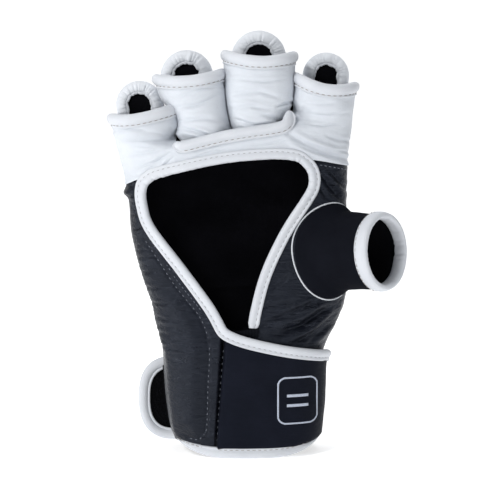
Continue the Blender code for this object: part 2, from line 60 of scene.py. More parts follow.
ORIGIN = np.array(JOINTS["middle_flex"]["pos_m"]) - np.array(MIDDLE_HINGE) * MM

# ---------------------------------------------------------------- driving dimensions, mm
SECTION_POWER = 2.5
# Height, left edge, right edge, palm-side depth and back depth of the outer leather.
STATIONS = (
    (0, -38.0, 34.5, 23.5, 29.0),
    (14, -43.0, 36.0, 23.5, 29.0),
    (26, -45.0, 37.2, 23.5, 29.0),
    (58, -47.4, 40.5, 23.5, 29.0),
    (70, -49.0, 46.0, 22.6, 29.4),
    (81, -51.0, 50.5, 21.8, 30.0),
    (92, -55.3, 52.0, 20.9, 30.5),
    (103, -59.6, 52.0, 20.0, 30.8),
    (115, -63.0, 52.0, 19.2, 31.3),
    (136, -65.0, 51.5, 18.0, 33.5),
    (150, -67.5, 52.0, 17.5, 35.0),
    (165, -71.5, 53.0, 17.5, 35.0),
    (180, -75.5, 55.0, 17.5, 35.0),
)
LEATHER = 1.2
# Thickness of the back padding from leather to lining, by height.
BACK_PADDING = ((0, 7.0), (70, 8.0), (115, 14.5), (136, 19.0), (180, 21.0))
SIDE_PADDING = 4.2
LINING_BEHIND_PALM, LINING = 4.5, 0.8
# Heights of the leather's foot, the lining's top, and the join of the back's black and white leather.
CUFF_TOP, LINING_TOP, PAD_SPLIT_Z = 6.5, 157.0, 131.0
# How far apart the points of a sewn line are.
LINE_STEP = 0.7

# Base x and z of the hinge, lean, top of the loop, its slope and sag, the pad's half-width, tip and shift,
# and the sleeve's half-widths to the little-finger and thumb sides by distance up the finger.
FINGERS = {
    "pinky": dict(
        x=-54.8, z=160.0, lean=-12.5, top=22.0, slope=-0.8, sag=2.2, pad=12.0, tip=38.4, shift=0.9,
        sides=((-6, 14.6, 19.4), (5, 15.2, 20.4), (12, 15.3, 20.5), (19, 15.0, 21.3), (26, 14.9, 21.0)),
    ),
    "ring": dict(
        x=-23.2, z=168.0, lean=-15.0, top=34.4, slope=-3.0, sag=2.5, pad=13.4, tip=48.2, shift=-2.0,
        sides=((-6, 16.6, 13.8), (2, 16.0, 14.2), (7, 14.0, 14.5), (12, 12.9, 14.8), (19, 14.2, 16.0),
               (24, 17.2, 16.8), (38, 18.0, 17.4)),
    ),
    "middle": dict(
        x=4.0, z=171.0, lean=1.6, top=40.4, slope=0.1, sag=3.2, pad=14.0, tip=54.0, shift=-0.4,
        sides=((-5, 13.4, 12.0), (1, 13.6, 12.4), (7, 15.5, 14.2), (12, 16.6, 16.6), (17, 17.6, 18.4),
               (23, 18.4, 18.9), (42, 18.9, 18.6)),
    ),
    "index": dict(
        x=37.6, z=168.0, lean=5.5, top=29.0, slope=-0.95, sag=3.8, pad=11.7, tip=45.4, shift=0.2,
        sides=((-8, 16.8, 14.4), (4, 17.3, 14.8), (15, 17.3, 15.8), (24, 16.8, 16.0), (36, 16.6, 15.6)),
    ),
}
FINGER_DEPTH, FINGER_BACK = 17.0, 15.0
LOOP_BAND = 6.6

THUMB_BASE = np.array((38.0, -6.3, 108.5))
THUMB_DIRECTION = np.array((0.88, -0.47, 0.03)) / np.linalg.norm((0.88, -0.47, 0.03))
THUMB_ACROSS = np.cross(THUMB_DIRECTION, (0, 0, 1))
THUMB_ACROSS = THUMB_ACROSS / np.linalg.norm(THUMB_ACROSS)
THUMB_UP = np.cross(THUMB_ACROSS, THUMB_DIRECTION)
THUMB_SEAM_HALF = (17.2, 25.2)
# The mouth is cut a little askew: it faces more to the palm and up.
MOUTH = np.array((0.79, -0.60, 0.07)) / np.linalg.norm((0.79, -0.60, 0.07))
MOUTH_ACROSS = np.cross(MOUTH, (0, 0, 1)) / np.linalg.norm(np.cross(MOUTH, (0, 0, 1)))
MOUTH_UP = np.cross(MOUTH_ACROSS, MOUTH)
THUMB_RING_RADIUS, THUMB_RING_HOLE, THUMB_END = 21.0, 16.8, 38.0

STRAP_LIFT = 3.2
THUMB_EDGE_T, TAIL_T = 350.0, 498.0


# ---------------------------------------------------------------- number helpers
def smooth(t):
    t = np.clip(t, 0.0, 1.0)
    return t * t * (3 - 2 * t)


def bump(t):
    """1 at 0, falling smoothly to nothing by about 2 either way."""
    return np.exp(-np.square(t))


def reader(table):
    """A smooth function through a table's rows; the first column is where, the others are the values."""
    key = np.array([row[0] for row in table], float)
    values = np.array([row[1:] for row in table], float)
    slopes = np.gradient(values, key, axis=0)

    def read(place):
        place = np.clip(np.asarray(place, float), key[0], key[-1])
        i = np.clip(np.searchsorted(key, place, side="right") - 1, 0, len(key) - 2)
        step = (key[i + 1] - key[i])[..., None]
        t = (place - key[i])[..., None] / step
        start = (1 + 2 * t) * (1 - t) ** 2 * values[i] + t * (1 - t) ** 2 * step * slopes[i]
        end = t * t * (3 - 2 * t) * values[i + 1] + t * t * (t - 1) * step * slopes[i + 1]
        found = start + end
        return found[..., 0] if values.shape[1] == 1 else found

    return read


def fractal(points, size, seed, octaves=3, stretch=(1, 1, 1)):
    """Smooth noise of about that size in mm, between about -1 and 1."""
    flat = (points.reshape(-1, 3) / (size * np.array(stretch)) + seed * 17.3).tolist()
    return np.array([noise.fractal(p, 1.0, 2.0, octaves) for p in flat]).reshape(points.shape[:-1])


def line_distance(x, z, line):
    """Distance of each point from a polyline, and the share of its length at the nearest place."""
    line = np.array(line, float)
    lengths = np.linalg.norm(np.diff(line, axis=0), axis=1)
    before = np.concatenate([[0], np.cumsum(lengths)])
    best, share = np.full(np.shape(x), 1e9), np.zeros(np.shape(x))
    for a, b, length, start in zip(line, line[1:], lengths, before):
        along = np.clip(((x - a[0]) * (b[0] - a[0]) + (z - a[1]) * (b[1] - a[1])) / length**2, 0, 1)
        d = np.hypot(x - a[0] - along * (b[0] - a[0]), z - a[1] - along * (b[1] - a[1]))
        share = np.where(d < best, (start + along * length) / before[-1], share)
        best = np.minimum(best, d)
    return best, share


def crease(x, z, line, width, depth, lip=0.4):
    """A soft valley along a line, with a low ridge on both sides, fading at the line's ends."""
    d, share = line_distance(x, z, line)
    fade = np.sqrt(np.clip(np.sin(np.pi * np.clip(share, 0.02, 0.98)), 0, 1))
    return depth * fade * (lip * bump((d - 2.2 * width) / (1.3 * width)) - bump(d / width))


def inside(x, z, outline):
    """Which points lie in a closed outline."""
    outline = np.array(outline, float)
    found = np.zeros(np.shape(x), bool)
    for a, b in zip(outline, np.roll(outline, -1, axis=0)):
        crosses = (a[1] > z) != (b[1] > z)
        slope = (b[0] - a[0]) / (b[1] - a[1] if b[1] != a[1] else 1e-9)
        found ^= crosses & (x < a[0] + (z - a[1]) * slope)
    return found


def curve(points, step, closed=False):
    """Evenly spaced points on a Catmull-Rom curve."""
    points = np.array(points, float)
    ends = [points[-1:], points, points[:2]] if closed else [points[:1], points, points[-1:]]
    p = np.concatenate(ends)
    t = np.linspace(0, 1, 25)[:-1, None]
    spans = [
        0.5 * (2 * b + (c - a) * t + (2 * a - 5 * b + 4 * c - d) * t**2 + (3 * b - a - 3 * c + d) * t**3)
        for a, b, c, d in zip(p, p[1:], p[2:], p[3:])
    ]
    dense = np.concatenate([*spans, points[:1] if closed else points[-1:]])
    run = np.concatenate([[0], np.cumsum(np.linalg.norm(np.diff(dense, axis=0), axis=1))])
    count = max(3, int(round(run[-1] / step)))
    marks = np.linspace(0, run[-1], count + 1)
    if closed:
        marks = marks[:-1]
    return np.stack([np.interp(marks, run, dense[:, i]) for i in range(dense.shape[1])], axis=1)


# ---------------------------------------------------------------- the hand's surface
STATION = reader(STATIONS)
PADDING = reader(BACK_PADDING)


def rounded(value):
    return np.sign(value) * np.abs(value) ** (2 / SECTION_POWER)


def sleeve(t, z, inset=0.0, side=None):
    """The hand's outer leather at angle t (0 thumb side, 90 back, 270 palm), moved inwards."""
    t, z = np.broadcast_arrays(np.asarray(t, float), np.asarray(z, float))
    left, right, palm, back = np.moveaxis(STATION(z), -1, 0)
    c, s = np.cos(np.radians(t)), np.sin(np.radians(t))
    half = (right - left) / 2 - (inset if side is None else side)
    depth = np.where(s > 0, back, palm) - inset
    return np.stack([(left + right) / 2 + half * rounded(c), depth * rounded(s), z], axis=-1)


def sleeve_normal(t, z):
    around = sleeve(np.add(t, 0.8), z) - sleeve(np.subtract(t, 0.8), z)
    up = sleeve(t, np.add(z, 0.8)) - sleeve(t, np.subtract(z, 0.8))
    n = np.cross(around, up)
    return n / np.linalg.norm(n, axis=-1, keepdims=True)


def palm_angle(x, z):
    left, right, _, _ = np.moveaxis(STATION(z), -1, 0)
    ratio = np.clip((x - (left + right) / 2) / ((right - left) / 2), -1, 1)
    return 360 - np.degrees(np.arccos(np.sign(ratio) * np.abs(ratio) ** (SECTION_POWER / 2)))


def palm_line(points, lift=0.0):
    """A smooth line over the palm from its x and z points, and the surface's normals along it."""
    line = curve(points, LINE_STEP)
    t = palm_angle(line[:, 0], line[:, 1])
    return sleeve(t, line[:, 1], -lift), sleeve_normal(t, line[:, 1])


# ---------------------------------------------------------------- mesh helpers
def quads(rows, columns, ring=False):
    """A grid's faces, with the points numbered row by row."""
    last = columns if ring else columns - 1
    i, j = np.meshgrid(np.arange(rows - 1), np.arange(last), indexing="ij")
    k = (j + 1) % columns
    faces = np.stack([i * columns + j, i * columns + k, (i + 1) * columns + k, (i + 1) * columns + j], -1)
    return faces.reshape(-1, 4)


def face_normals(points, faces):
    a, b, c, d = (points[faces[:, i]] for i in range(4))
    return np.cross(c - a, d - b)


def point_normals(points, faces):
    normals, flat = np.zeros_like(points), face_normals(points, faces)
    for i in range(4):
        np.add.at(normals, faces[:, i], flat)
    return normals / np.maximum(np.linalg.norm(normals, axis=1, keepdims=True), 1e-9)


def displaced(points, faces, heights):
    return points + point_normals(points, faces) * np.reshape(heights, (-1, 1))


def make(name, points, faces, normals, looks, look_of_face=None):
    """An object in the row frame from points in mm, its faces and the normal at each face's corners."""
    mesh = bpy.data.meshes.new(name)
    mesh.from_pydata((points * MM + ORIGIN).tolist(), [], [list(map(int, face)) for face in faces])
    mesh.shade_smooth()
    for look in looks:
        mesh.materials.append(look)
    if look_of_face is not None:
        mesh.polygons.foreach_set("material_index", np.asarray(look_of_face, np.int32))
    mesh.normals_split_custom_set([tuple(n) for n in normals.tolist()])
    made = bpy.data.objects.new(name, mesh)
    bpy.context.scene.collection.objects.link(made)
    return made


def leather_piece(name, points, faces, thickness, looks, keep=None, normals=None):
    """A closed solid: a surface of quads and a copy of it, thickness further in."""
    points = points.reshape(-1, 3)
    if normals is None:
        normals = point_normals(points, faces)
    if keep is not None:
        faces = faces[keep]
        used, faces = np.unique(faces, return_inverse=True)
        faces, points, normals = faces.reshape(-1, 4), points[used], normals[used]
    count = len(points)
    inner = points - normals * thickness
    edges = np.concatenate([faces[:, [i, (i + 1) % 4]] for i in range(4)])
    seen = set(map(tuple, edges.tolist()))
    rim = np.array([e for e in edges.tolist() if (e[1], e[0]) not in seen])
    rims = np.stack([rim[:, 1], rim[:, 0], rim[:, 0] + count, rim[:, 1] + count], axis=1)
    solid_points = np.concatenate([points, inner])
    every = np.concatenate([faces, faces[:, ::-1] + count, rims])
    flat = face_normals(solid_points, rims)
    flat /= np.maximum(np.linalg.norm(flat, axis=1, keepdims=True), 1e-9)
    corner = np.concatenate([
        normals[faces].reshape(-1, 3), -normals[faces[:, ::-1]].reshape(-1, 3), np.repeat(flat, 4, axis=0),
    ])
    indices = [0] * len(faces) + [len(looks) - 1] * (len(faces) + len(rims))
    return make(name, solid_points, every, corner, looks, indices)


def tube(name, grid, looks, closed=False, first=0, last=None):
    """A solid round a grid of rings; a closed one joins its last ring to its first."""
    rings, sides = grid.shape[:2]
    points = grid.reshape(-1, 3)
    if closed:
        whole = quads(rings + 1, sides, ring=True) % (rings * sides)
    else:
        whole = quads(rings, sides, ring=True)
    centre = grid.mean(axis=1, keepdims=True)
    flat = face_normals(points, whole)
    outward = (points[whole].mean(axis=1) - np.repeat(centre[:, 0], sides, axis=0)[: len(whole)])
    if np.sum(flat * outward) < 0:
        whole = whole[:, ::-1]
    normals = point_normals(points, whole)
    faces, corner = whole, normals[whole].reshape(-1, 3)
    if not closed:
        last = rings if last is None else last
        used = ((whole // sides).min(axis=1) >= first) & ((whole // sides).max(axis=1) < last)
        faces = whole[used] - first * sides
        points, normals = points[first * sides:last * sides], normals[first * sides:last * sides]
        corner = normals[faces].reshape(-1, 3)
        start, end = list(range(sides)), list(range(len(points) - sides, len(points)))
        turned = faces[0].tolist()
        forward = turned[(turned.index(0) + 1) % 4] == 1
        caps = [start[::-1] if forward else start, end if forward else end[::-1]]
        away = (points[start].mean(axis=0) - points[sides:2 * sides].mean(axis=0),
                points[end].mean(axis=0) - points[-2 * sides:-sides].mean(axis=0))
        faces = [*faces.tolist(), *caps]
        for direction in away:
            unit = direction / max(np.linalg.norm(direction), 1e-9)
            corner = np.concatenate([corner, np.repeat(unit[None], sides, axis=0)])
    return make(name, points, faces, corner, looks)


def swept(line, normals, profile, closed=False):
    """Rings of a profile carried along a line: across is to the left of travel, up is the normal."""
    if closed:
        tangent = np.roll(line, -1, axis=0) - np.roll(line, 1, axis=0)
    else:
        tangent = np.gradient(line, axis=0)
    tangent /= np.linalg.norm(tangent, axis=1, keepdims=True)
    across = np.cross(normals, tangent)
    across /= np.linalg.norm(across, axis=1, keepdims=True)
    up = np.cross(tangent, across)
    profile = np.asarray(profile, float)
    if profile.ndim == 2:
        profile = np.repeat(profile[None], len(line), axis=0)
    return line[:, None] + across[:, None] * profile[..., :1] + up[:, None] * profile[..., 1:]


def run_length(line):
    return np.concatenate([[0], np.cumsum(np.linalg.norm(np.diff(line, axis=0), axis=1))])


def offset_line(line, normals, across, up):
    """A line moved to its left and outwards."""
    return swept(line, normals, np.array([[across, up]]))[:, 0]


STITCH_SIDES = 6


def stitches(name, line, normals, look, pitch=3.0, length=2.1, radius=0.24, sink=0.1):
    """Short rounded threads lying along a line, their ends dipping into it."""
    run = run_length(line)
    starts = np.arange(pitch * 0.4, run[-1] - length, pitch)
    shares = np.array([0.0, 0.12, 0.35, 0.65, 0.88, 1.0])
    fat = np.array([0.35, 0.85, 1.0, 1.0, 0.85, 0.35]) * radius
    height = np.array([-0.30, 0.02, 0.10, 0.10, 0.02, -0.30]) * radius / 0.24 - sink
    angles = np.arange(STITCH_SIDES) * math.tau / STITCH_SIDES
    points, faces, corner = [], [], []
    for start in starts:
        at = start + shares * length
        middle = np.stack([np.interp(at, run, line[:, i]) for i in range(3)], axis=1)
        normal = np.stack([np.interp(at, run, normals[:, i]) for i in range(3)], axis=1)
        profile = np.stack([np.outer(fat, np.cos(angles)), np.outer(fat, np.sin(angles)) + height[:, None]],
                           axis=-1)
        rings = swept(middle, normal, profile).reshape(-1, 3)
        base = len(points) * len(rings)
        one = quads(len(shares), STITCH_SIDES, ring=True)[:, ::-1]
        found = point_normals(rings, one)
        points.append(rings)
        faces += (one + base).tolist()
        corner.append(found[one].reshape(-1, 3))
        first = list(range(STITCH_SIDES))
        end = [len(rings) - STITCH_SIDES + i for i in first]
        faces += [[base + i for i in first], [base + i for i in end[::-1]]]
        corner += [found[first], found[end[::-1]]]
    if not points:
        return None
    return make(name, np.concatenate(points), faces, np.concatenate(corner), [look])


# ---------------------------------------------------------------- materials
def nodes_of(name):
    made = bpy.data.materials.new(name)
    made.use_nodes = True
    tree = made.node_tree
    shader = tree.nodes["Principled BSDF"]
    place = tree.nodes.new("ShaderNodeTexCoord")
    return made, tree, shader, place.outputs["Object"]


def texture(tree, kind, place, scale, **sockets):
    node = tree.nodes.new(kind)
    tree.links.new(place, node.inputs["Vector"])
    node.inputs["Scale"].default_value = scale
    for socket, value in sockets.items():
        node.inputs[socket.replace("_", " ")].default_value = value
    return node


def stretched(tree, place, scale):
    node = tree.nodes.new("ShaderNodeMapping")
    tree.links.new(place, node.inputs["Vector"])
    node.inputs["Scale"].default_value = scale
    return node.outputs["Vector"]


def ramp(tree, value, *stops):
    """A colour ramp; each stop is a position and a colour or a grey."""
    node = tree.nodes.new("ShaderNodeValToRGB")
    tree.links.new(value, node.inputs["Fac"])
    marks = node.color_ramp.elements
    while len(marks) < len(stops):
        marks.new(0.5)
    for mark, (position, colour) in zip(marks, stops):
        mark.position = position
        mark.color = (*colour, 1) if hasattr(colour, "__len__") else (colour, colour, colour, 1)
    return node.outputs["Color"]


def add_bump(tree, shader, *layers):
    """Bump nodes in a row; each layer is a height, a strength and a distance in mm."""
    normal = None
    for height, strength, distance in layers:
        node = tree.nodes.new("ShaderNodeBump")
        node.inputs["Strength"].default_value = strength
        node.inputs["Distance"].default_value = distance * MM
        tree.links.new(height, node.inputs["Height"])
        if normal:
            tree.links.new(normal, node.inputs["Normal"])
        normal = node.outputs["Normal"]
    tree.links.new(normal, shader.inputs["Normal"])


def leather(name, dark, light, rough, grain_mm, grain_depth, specular=0.5, wrinkles=0.25, deep=0.5,
            fold_scale=420, tint=(1.0, 1.0, 1.0)):
    """Full-grain leather: pebbles, pores and fine stretch wrinkles, with uneven colour and gloss."""
    made, tree, shader, place = nodes_of(name)
    link = tree.links.new
    pebble = texture(tree, "ShaderNodeTexVoronoi", place, 1000 / grain_mm)
    pebble.feature = "DISTANCE_TO_EDGE"
    pores = texture(tree, "ShaderNodeTexNoise", place, 1800, Detail=3.0)
    lines = texture(tree, "ShaderNodeTexNoise", stretched(tree, place, (0.35, 1, 1.6)), fold_scale,
                    Detail=5.0, Distortion=0.6)
    patches = texture(tree, "ShaderNodeTexNoise", place, 45, Detail=5.0, Roughness=0.6)
    link(ramp(tree, patches.outputs["Fac"], (0.3, dark), (0.7, light)), shader.inputs["Base Color"])
    link(ramp(tree, lines.outputs["Fac"], (0.3, rough - 0.06), (0.75, rough + 0.1)),
         shader.inputs["Roughness"])
    edge = ramp(tree, pebble.outputs["Distance"], (0.0, 0.0), (0.14, 1.0))
    add_bump(tree, shader, (lines.outputs["Fac"], wrinkles, deep), (edge, grain_depth, 0.06),
             (pores.outputs["Fac"], grain_depth, 0.05))
    shader.inputs["Specular IOR Level"].default_value = specular
    shader.inputs["Specular Tint"].default_value = (*tint, 1)
    return made


def cloth(name, dark, light, thread_mm, rough=0.95, sheen=0.3, depth=0.5, specular=0.1):
    """A fine knit or woven face: crossed ribs, and a faint mottle."""
    made, tree, shader, place = nodes_of(name)
    link = tree.links.new
    across = texture(tree, "ShaderNodeTexWave", place, 1000 / thread_mm / math.tau * 2, Distortion=1.2,
                     Detail=1.0)
    across.bands_direction = "X"
    upward = texture(tree, "ShaderNodeTexWave", place, 1000 / thread_mm / math.tau * 2, Distortion=1.2,
                     Detail=1.0)
    upward.bands_direction = "Z"
    fuzz = texture(tree, "ShaderNodeTexNoise", place, 2600, Detail=2.0)
    patches = texture(tree, "ShaderNodeTexNoise", place, 60, Detail=4.0)
    link(ramp(tree, patches.outputs["Fac"], (0.3, dark), (0.7, light)), shader.inputs["Base Color"])
    shader.inputs["Roughness"].default_value = rough
    shader.inputs["Sheen Weight"].default_value = sheen
    shader.inputs["Sheen Roughness"].default_value = 0.5
    shader.inputs["Specular IOR Level"].default_value = specular
    add_bump(tree, shader, (across.outputs["Fac"], depth, 0.08), (upward.outputs["Fac"], depth, 0.08),
             (fuzz.outputs["Fac"], depth, 0.1))
    return made


def thread(name, colour):
    made, tree, shader, place = nodes_of(name)
    twist = texture(tree, "ShaderNodeTexNoise", place, 3500, Detail=1.0)
    darker = tuple(c * 0.6 for c in colour)
    tree.links.new(ramp(tree, twist.outputs["Fac"], (0.35, darker), (0.65, colour)),
                   shader.inputs["Base Color"])
    shader.inputs["Roughness"].default_value = 0.7
    return made


def tape(name, colour, tuft_mm):
    """Hook-and-loop tape: a dense field of tufts."""
    made, tree, shader, place = nodes_of(name)
    tufts = texture(tree, "ShaderNodeTexVoronoi", place, 1000 / tuft_mm)
    darker = tuple(c * 0.3 for c in colour)
    # The colour falls to a third towards each tuft's edge: painted shade in the gaps between the tufts.
    tree.links.new(ramp(tree, tufts.outputs["Distance"], (0.1, colour), (0.6, darker)),
                   shader.inputs["Base Color"])
    shader.inputs["Roughness"].default_value = 0.9
    shader.inputs["Specular IOR Level"].default_value = 0.06
    add_bump(tree, shader, (ramp(tree, tufts.outputs["Distance"], (0.0, 1.0), (0.7, 0.0)), 0.9, 0.5))
    return made


# The white leathers' base colours lean blue: a painted tint that stands in for the blue cast of the shade on
# white leather.
WHITE = leather("white_grain", (0.59, 0.62, 0.665), (0.66, 0.69, 0.735), 0.46, 0.75, 0.3, specular=0.35,
                wrinkles=0.6)
# A lighter copy of the white leather for the pads: painted light that makes up for the shade their pleats
# and facing give them.
PAD_WHITE_PAINTED_LIGHT = leather("white_pad_painted_light", (0.68, 0.705, 0.745), (0.745, 0.77, 0.81), 0.46, 0.75, 0.3, specular=0.35,
                 wrinkles=0.45)
ROLLED = leather("white_rolled", (0.59, 0.61, 0.65), (0.65, 0.67, 0.705), 0.46, 0.6, 0.14, specular=0.3,
                 wrinkles=0.25)
BLACK = leather("black_grain", (0.0032, 0.0039, 0.0065), (0.0064, 0.0077, 0.0125), 0.31, 0.85, 0.8,
                specular=0.28, wrinkles=1.0, deep=1.15, fold_scale=260, tint=(0.74, 0.82, 1.0))
STRAP = leather("black_strap", (0.0058, 0.007, 0.0118), (0.0085, 0.010, 0.017), 0.46, 0.6, 0.35,
                specular=0.04, wrinkles=0.35, tint=(0.82, 0.88, 1.0))
KNIT = cloth("lining_knit", (0.0022, 0.0022, 0.0032), (0.004, 0.004, 0.0055), 0.7, sheen=0.0, specular=0.04)
NEOPRENE = cloth("neoprene_face", (0.0042, 0.0048, 0.0078), (0.006, 0.0068, 0.0105), 0.55, sheen=0.0,
                 depth=0.35, specular=0.06)
ELASTIC = cloth("elastic_rib", (0.004, 0.0045, 0.0065), (0.007, 0.008, 0.011), 1.3, sheen=0.0, depth=0.9,
                specular=0.06)
HOOKS = tape("hook_tape_face", (0.0035, 0.0035, 0.005), 1.1)
LOOPS = tape("loop_tape_face", (0.016, 0.016, 0.020), 0.7)
# The dark colour of these two threads on white leather is painted shadow: it stands in for the shade in the
# stitch holes.
STITCH_SHADOW_THREAD = thread("thread_on_white_painted_shadow", (0.36, 0.33, 0.31))
BAND_STITCH_SHADOW_THREAD = thread("thread_on_band_painted_shadow", (0.42, 0.42, 0.44))
GREY_THREAD = thread("thread_on_black", (0.24, 0.26, 0.31))
PRINT = thread("printed_silver", (0.55, 0.60, 0.72))


# ---------------------------------------------------------------- the palm opening and its binding
# Middle of the white band: up the thumb side of the opening, round its top, down the little-finger side
# and out along the strap's top edge.
BAND = (
    (1.7, 69.0), (2.2, 73.0), (3.6, 80.0), (7.0, 93.0), (12.0, 105.6), (20.0, 121.0), (31.0, 137.6),
    (33.8, 144.0), (33.4, 150.6), (29.6, 156.2), (23.0, 159.6), (8.0, 160.2), (-16.0, 157.8),
    (-44.6, 151.4), (-54.4, 147.4), (-57.8, 141.4), (-57.2, 132.2), (-52.8, 120.6), (-37.0, 100.2),
    (-22.9, 81.4), (-17.4, 72.6), (-13.8, 67.2), (-9.0, 64.4), (-2.0, 61.8), (8.3, 59.1),
    (19.4, 56.6), (29.0, 54.8), (36.0, 53.4),
)
STRAP_BACK_TOP = 46.8


def band_path():
    """The band's line, its normals, and where the strap's front and back sections of it start."""
    flat = curve(BAND, LINE_STEP)
    t = palm_angle(flat[:, 0], flat[:, 1])
    z = flat[:, 1]
    more = np.arange(t[-1] + 0.75, TAIL_T, 0.75)
    t = np.concatenate([t, more])
    z = np.concatenate([z, z[-1] + (STRAP_BACK_TOP - z[-1]) * smooth((more - more[0]) / 60.0)])
    foot = int(np.argmin(np.hypot(flat[:, 0] + 15.6, flat[:, 1] - 69.4) + (flat[:, 0] > 0) * 99))
    run = np.arange(len(t))
    lift = STRAP_LIFT * smooth((run - foot + 10) / 26.0)
    line = sleeve(t, z, -lift)
    edge = int(np.argmax(t > THUMB_EDGE_T))
    return line, sleeve_normal(t, z), foot, edge, t, z


BAND_LINE, BAND_NORMALS, BAND_FOOT, BAND_EDGE, BAND_T, BAND_Z = band_path()
BAND_PROFILE = np.array((
    (-2.95, -0.4), (-3.05, 0.35), (-2.75, 0.95), (-2.15, 1.15), (-1.55, 0.98), (-1.15, 0.78), (-0.7, 1.0),
    (0.0, 1.35), (0.9, 1.6), (1.8, 1.5), (2.5, 1.05), (2.95, 0.2), (2.95, -0.9), (2.5, -1.9), (1.4, -2.4),
    (0.0, -2.3), (-1.5, -1.9), (-2.5, -1.3),
))


def gathers(run, pitch, seed):
    """Uneven pleats along a line: 0 between them and towards -1 in them."""
    wave = np.array([noise.fractal((s / pitch, seed, 0.3), 0.8, 2.1, 2) for s in run])
    return -np.clip(np.abs(wave) * 1.6, 0, 1)


def make_band():
    run = run_length(BAND_LINE)
    x, z = BAND_LINE[:, 0], BAND_LINE[:, 2]
    corner_left = bump(np.hypot(x + 52.0, z - 146.5) / 13.0)
    corner_right = bump(np.hypot(x - 31.0, z - 151.0) / 13.0)
    plain = 0.12 + 0.25 * (z > 148)
    strength = np.clip(corner_left + corner_right + plain, 0, 1) * (np.arange(len(run)) < BAND_FOOT)
    profile = np.repeat(BAND_PROFILE[None], len(run), axis=0)
    pleats = gathers(run, 2.4, 4.1)
    for i, (across, up) in enumerate(BAND_PROFILE):
        if across > 0 and up > -1.5:
            weight = min(1.0, across / 2.0) * 0.75
            profile[:, i, 1] += pleats * strength * weight
            profile[:, i, 0] += pleats * strength * weight * 0.45
    joint = bump((run - run[np.argmin(np.hypot(x - 30.8, z - 137.0))]) / 0.8)
    profile[:, :, 1] -= joint[:, None] * 0.25
    profile[:, :, 0] *= 1 + 0.10 * corner_left[:, None] + 0.04 * corner_right[:, None]
    profile *= (0.8 + 0.2 * smooth(run / 3.0))[:, None, None]
    grid = swept(BAND_LINE, BAND_NORMALS, profile)
    parts = (
        ("opening_band", "palm_opening_binding", 0, BAND_FOOT + 1, "hand"),
        ("strap_front_top_band", "strap_front_top_binding", BAND_FOOT, BAND_EDGE + 1, "strap_front"),
        ("strap_wrap_top_band", "strap_wrap_top_binding", BAND_EDGE, len(run), "strap_wrap"),
    )
    for name, node, first, last, body in parts:
        item = tube(name, grid, [ROLLED], first=first, last=last)
        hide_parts(node)
        line = offset_line(BAND_LINE[first:last], BAND_NORMALS[first:last], -1.15, 0.86)
        seam = stitches(name + "_stitches", line, BAND_NORMALS[first:last], BAND_STITCH_SHADOW_THREAD, pitch=2.9,
                        length=1.6, radius=0.19)
        join_strap(item, body)
        join_strap(seam, body)


# ---------------------------------------------------------------- how pieces follow the joints
def point(place):
    return tuple(np.array(place) * MM + ORIGIN)


def joint_place(name):
    return (np.array(JOINTS[name]["pos_m"]) - ORIGIN) / MM


def join_strap(item, body):
    """Strap pieces stay fixed where they are made; pieces of other bodies are attached to them."""
    if item is None:
        return
    if body == "strap_front":
        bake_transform(item)
    elif body == "strap_wrap":
        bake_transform(item)
    elif body == "strap_tail":
        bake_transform(item)
    else:
        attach(item, body)


def join_finger(item):
    """Keeps the piece fixed where it is made."""
    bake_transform(item)


# ---------------------------------------------------------------- fingers
def finger_point(finger, across, y, along):
    across, y, along = np.broadcast_arrays(*(np.asarray(v, float) for v in (across, y, along)))
    lean = math.radians(finger["lean"])
    turn = lean * smooth(along / 18.0)
    x = finger["x"] + along * math.sin(lean) + across * np.cos(turn)
    return np.stack([x, y, finger["z"] + along * math.cos(lean) - across * np.sin(turn)], axis=-1)


SIDES = {finger["x"]: reader(finger["sides"]) for finger in FINGERS.values()}


def loop_point(finger, a, along, inset=0.0):
    """A point of a finger's sleeve at angle a (180 little-finger side, 270 palm, 360 thumb side)."""
    c, s = np.cos(np.radians(a)), np.sin(np.radians(a))
    left, right = np.moveaxis(SIDES[finger["x"]](along), -1, 0)
    half = np.where(c < 0, left, right) - inset
    depth = np.where(s > 0, FINGER_BACK, FINGER_DEPTH) - inset
    return finger_point(finger, half * rounded(c), depth * rounded(s), along)


def loop_top(finger, a):
    across = rounded(np.cos(np.radians(a)))
    return finger["top"] + finger["slope"] * across + finger["sag"] * across**2


BAR_LEFT_X, BAR_RIGHT_X = -38.9, 20.5
SEAM_AND_OPENING = reader((
    (-80, 136.0), (-60, 146.3), (-52, 149.0), (-44, 151.2), (-16, 157.8), (8, 160.2), (22, 159.8),
    (30, 157.6), (37, 156.5), (50, 154.0), (62, 151.5),
))


def bar_low(x):
    return 162.6 + (x + 30.0) * 0.18


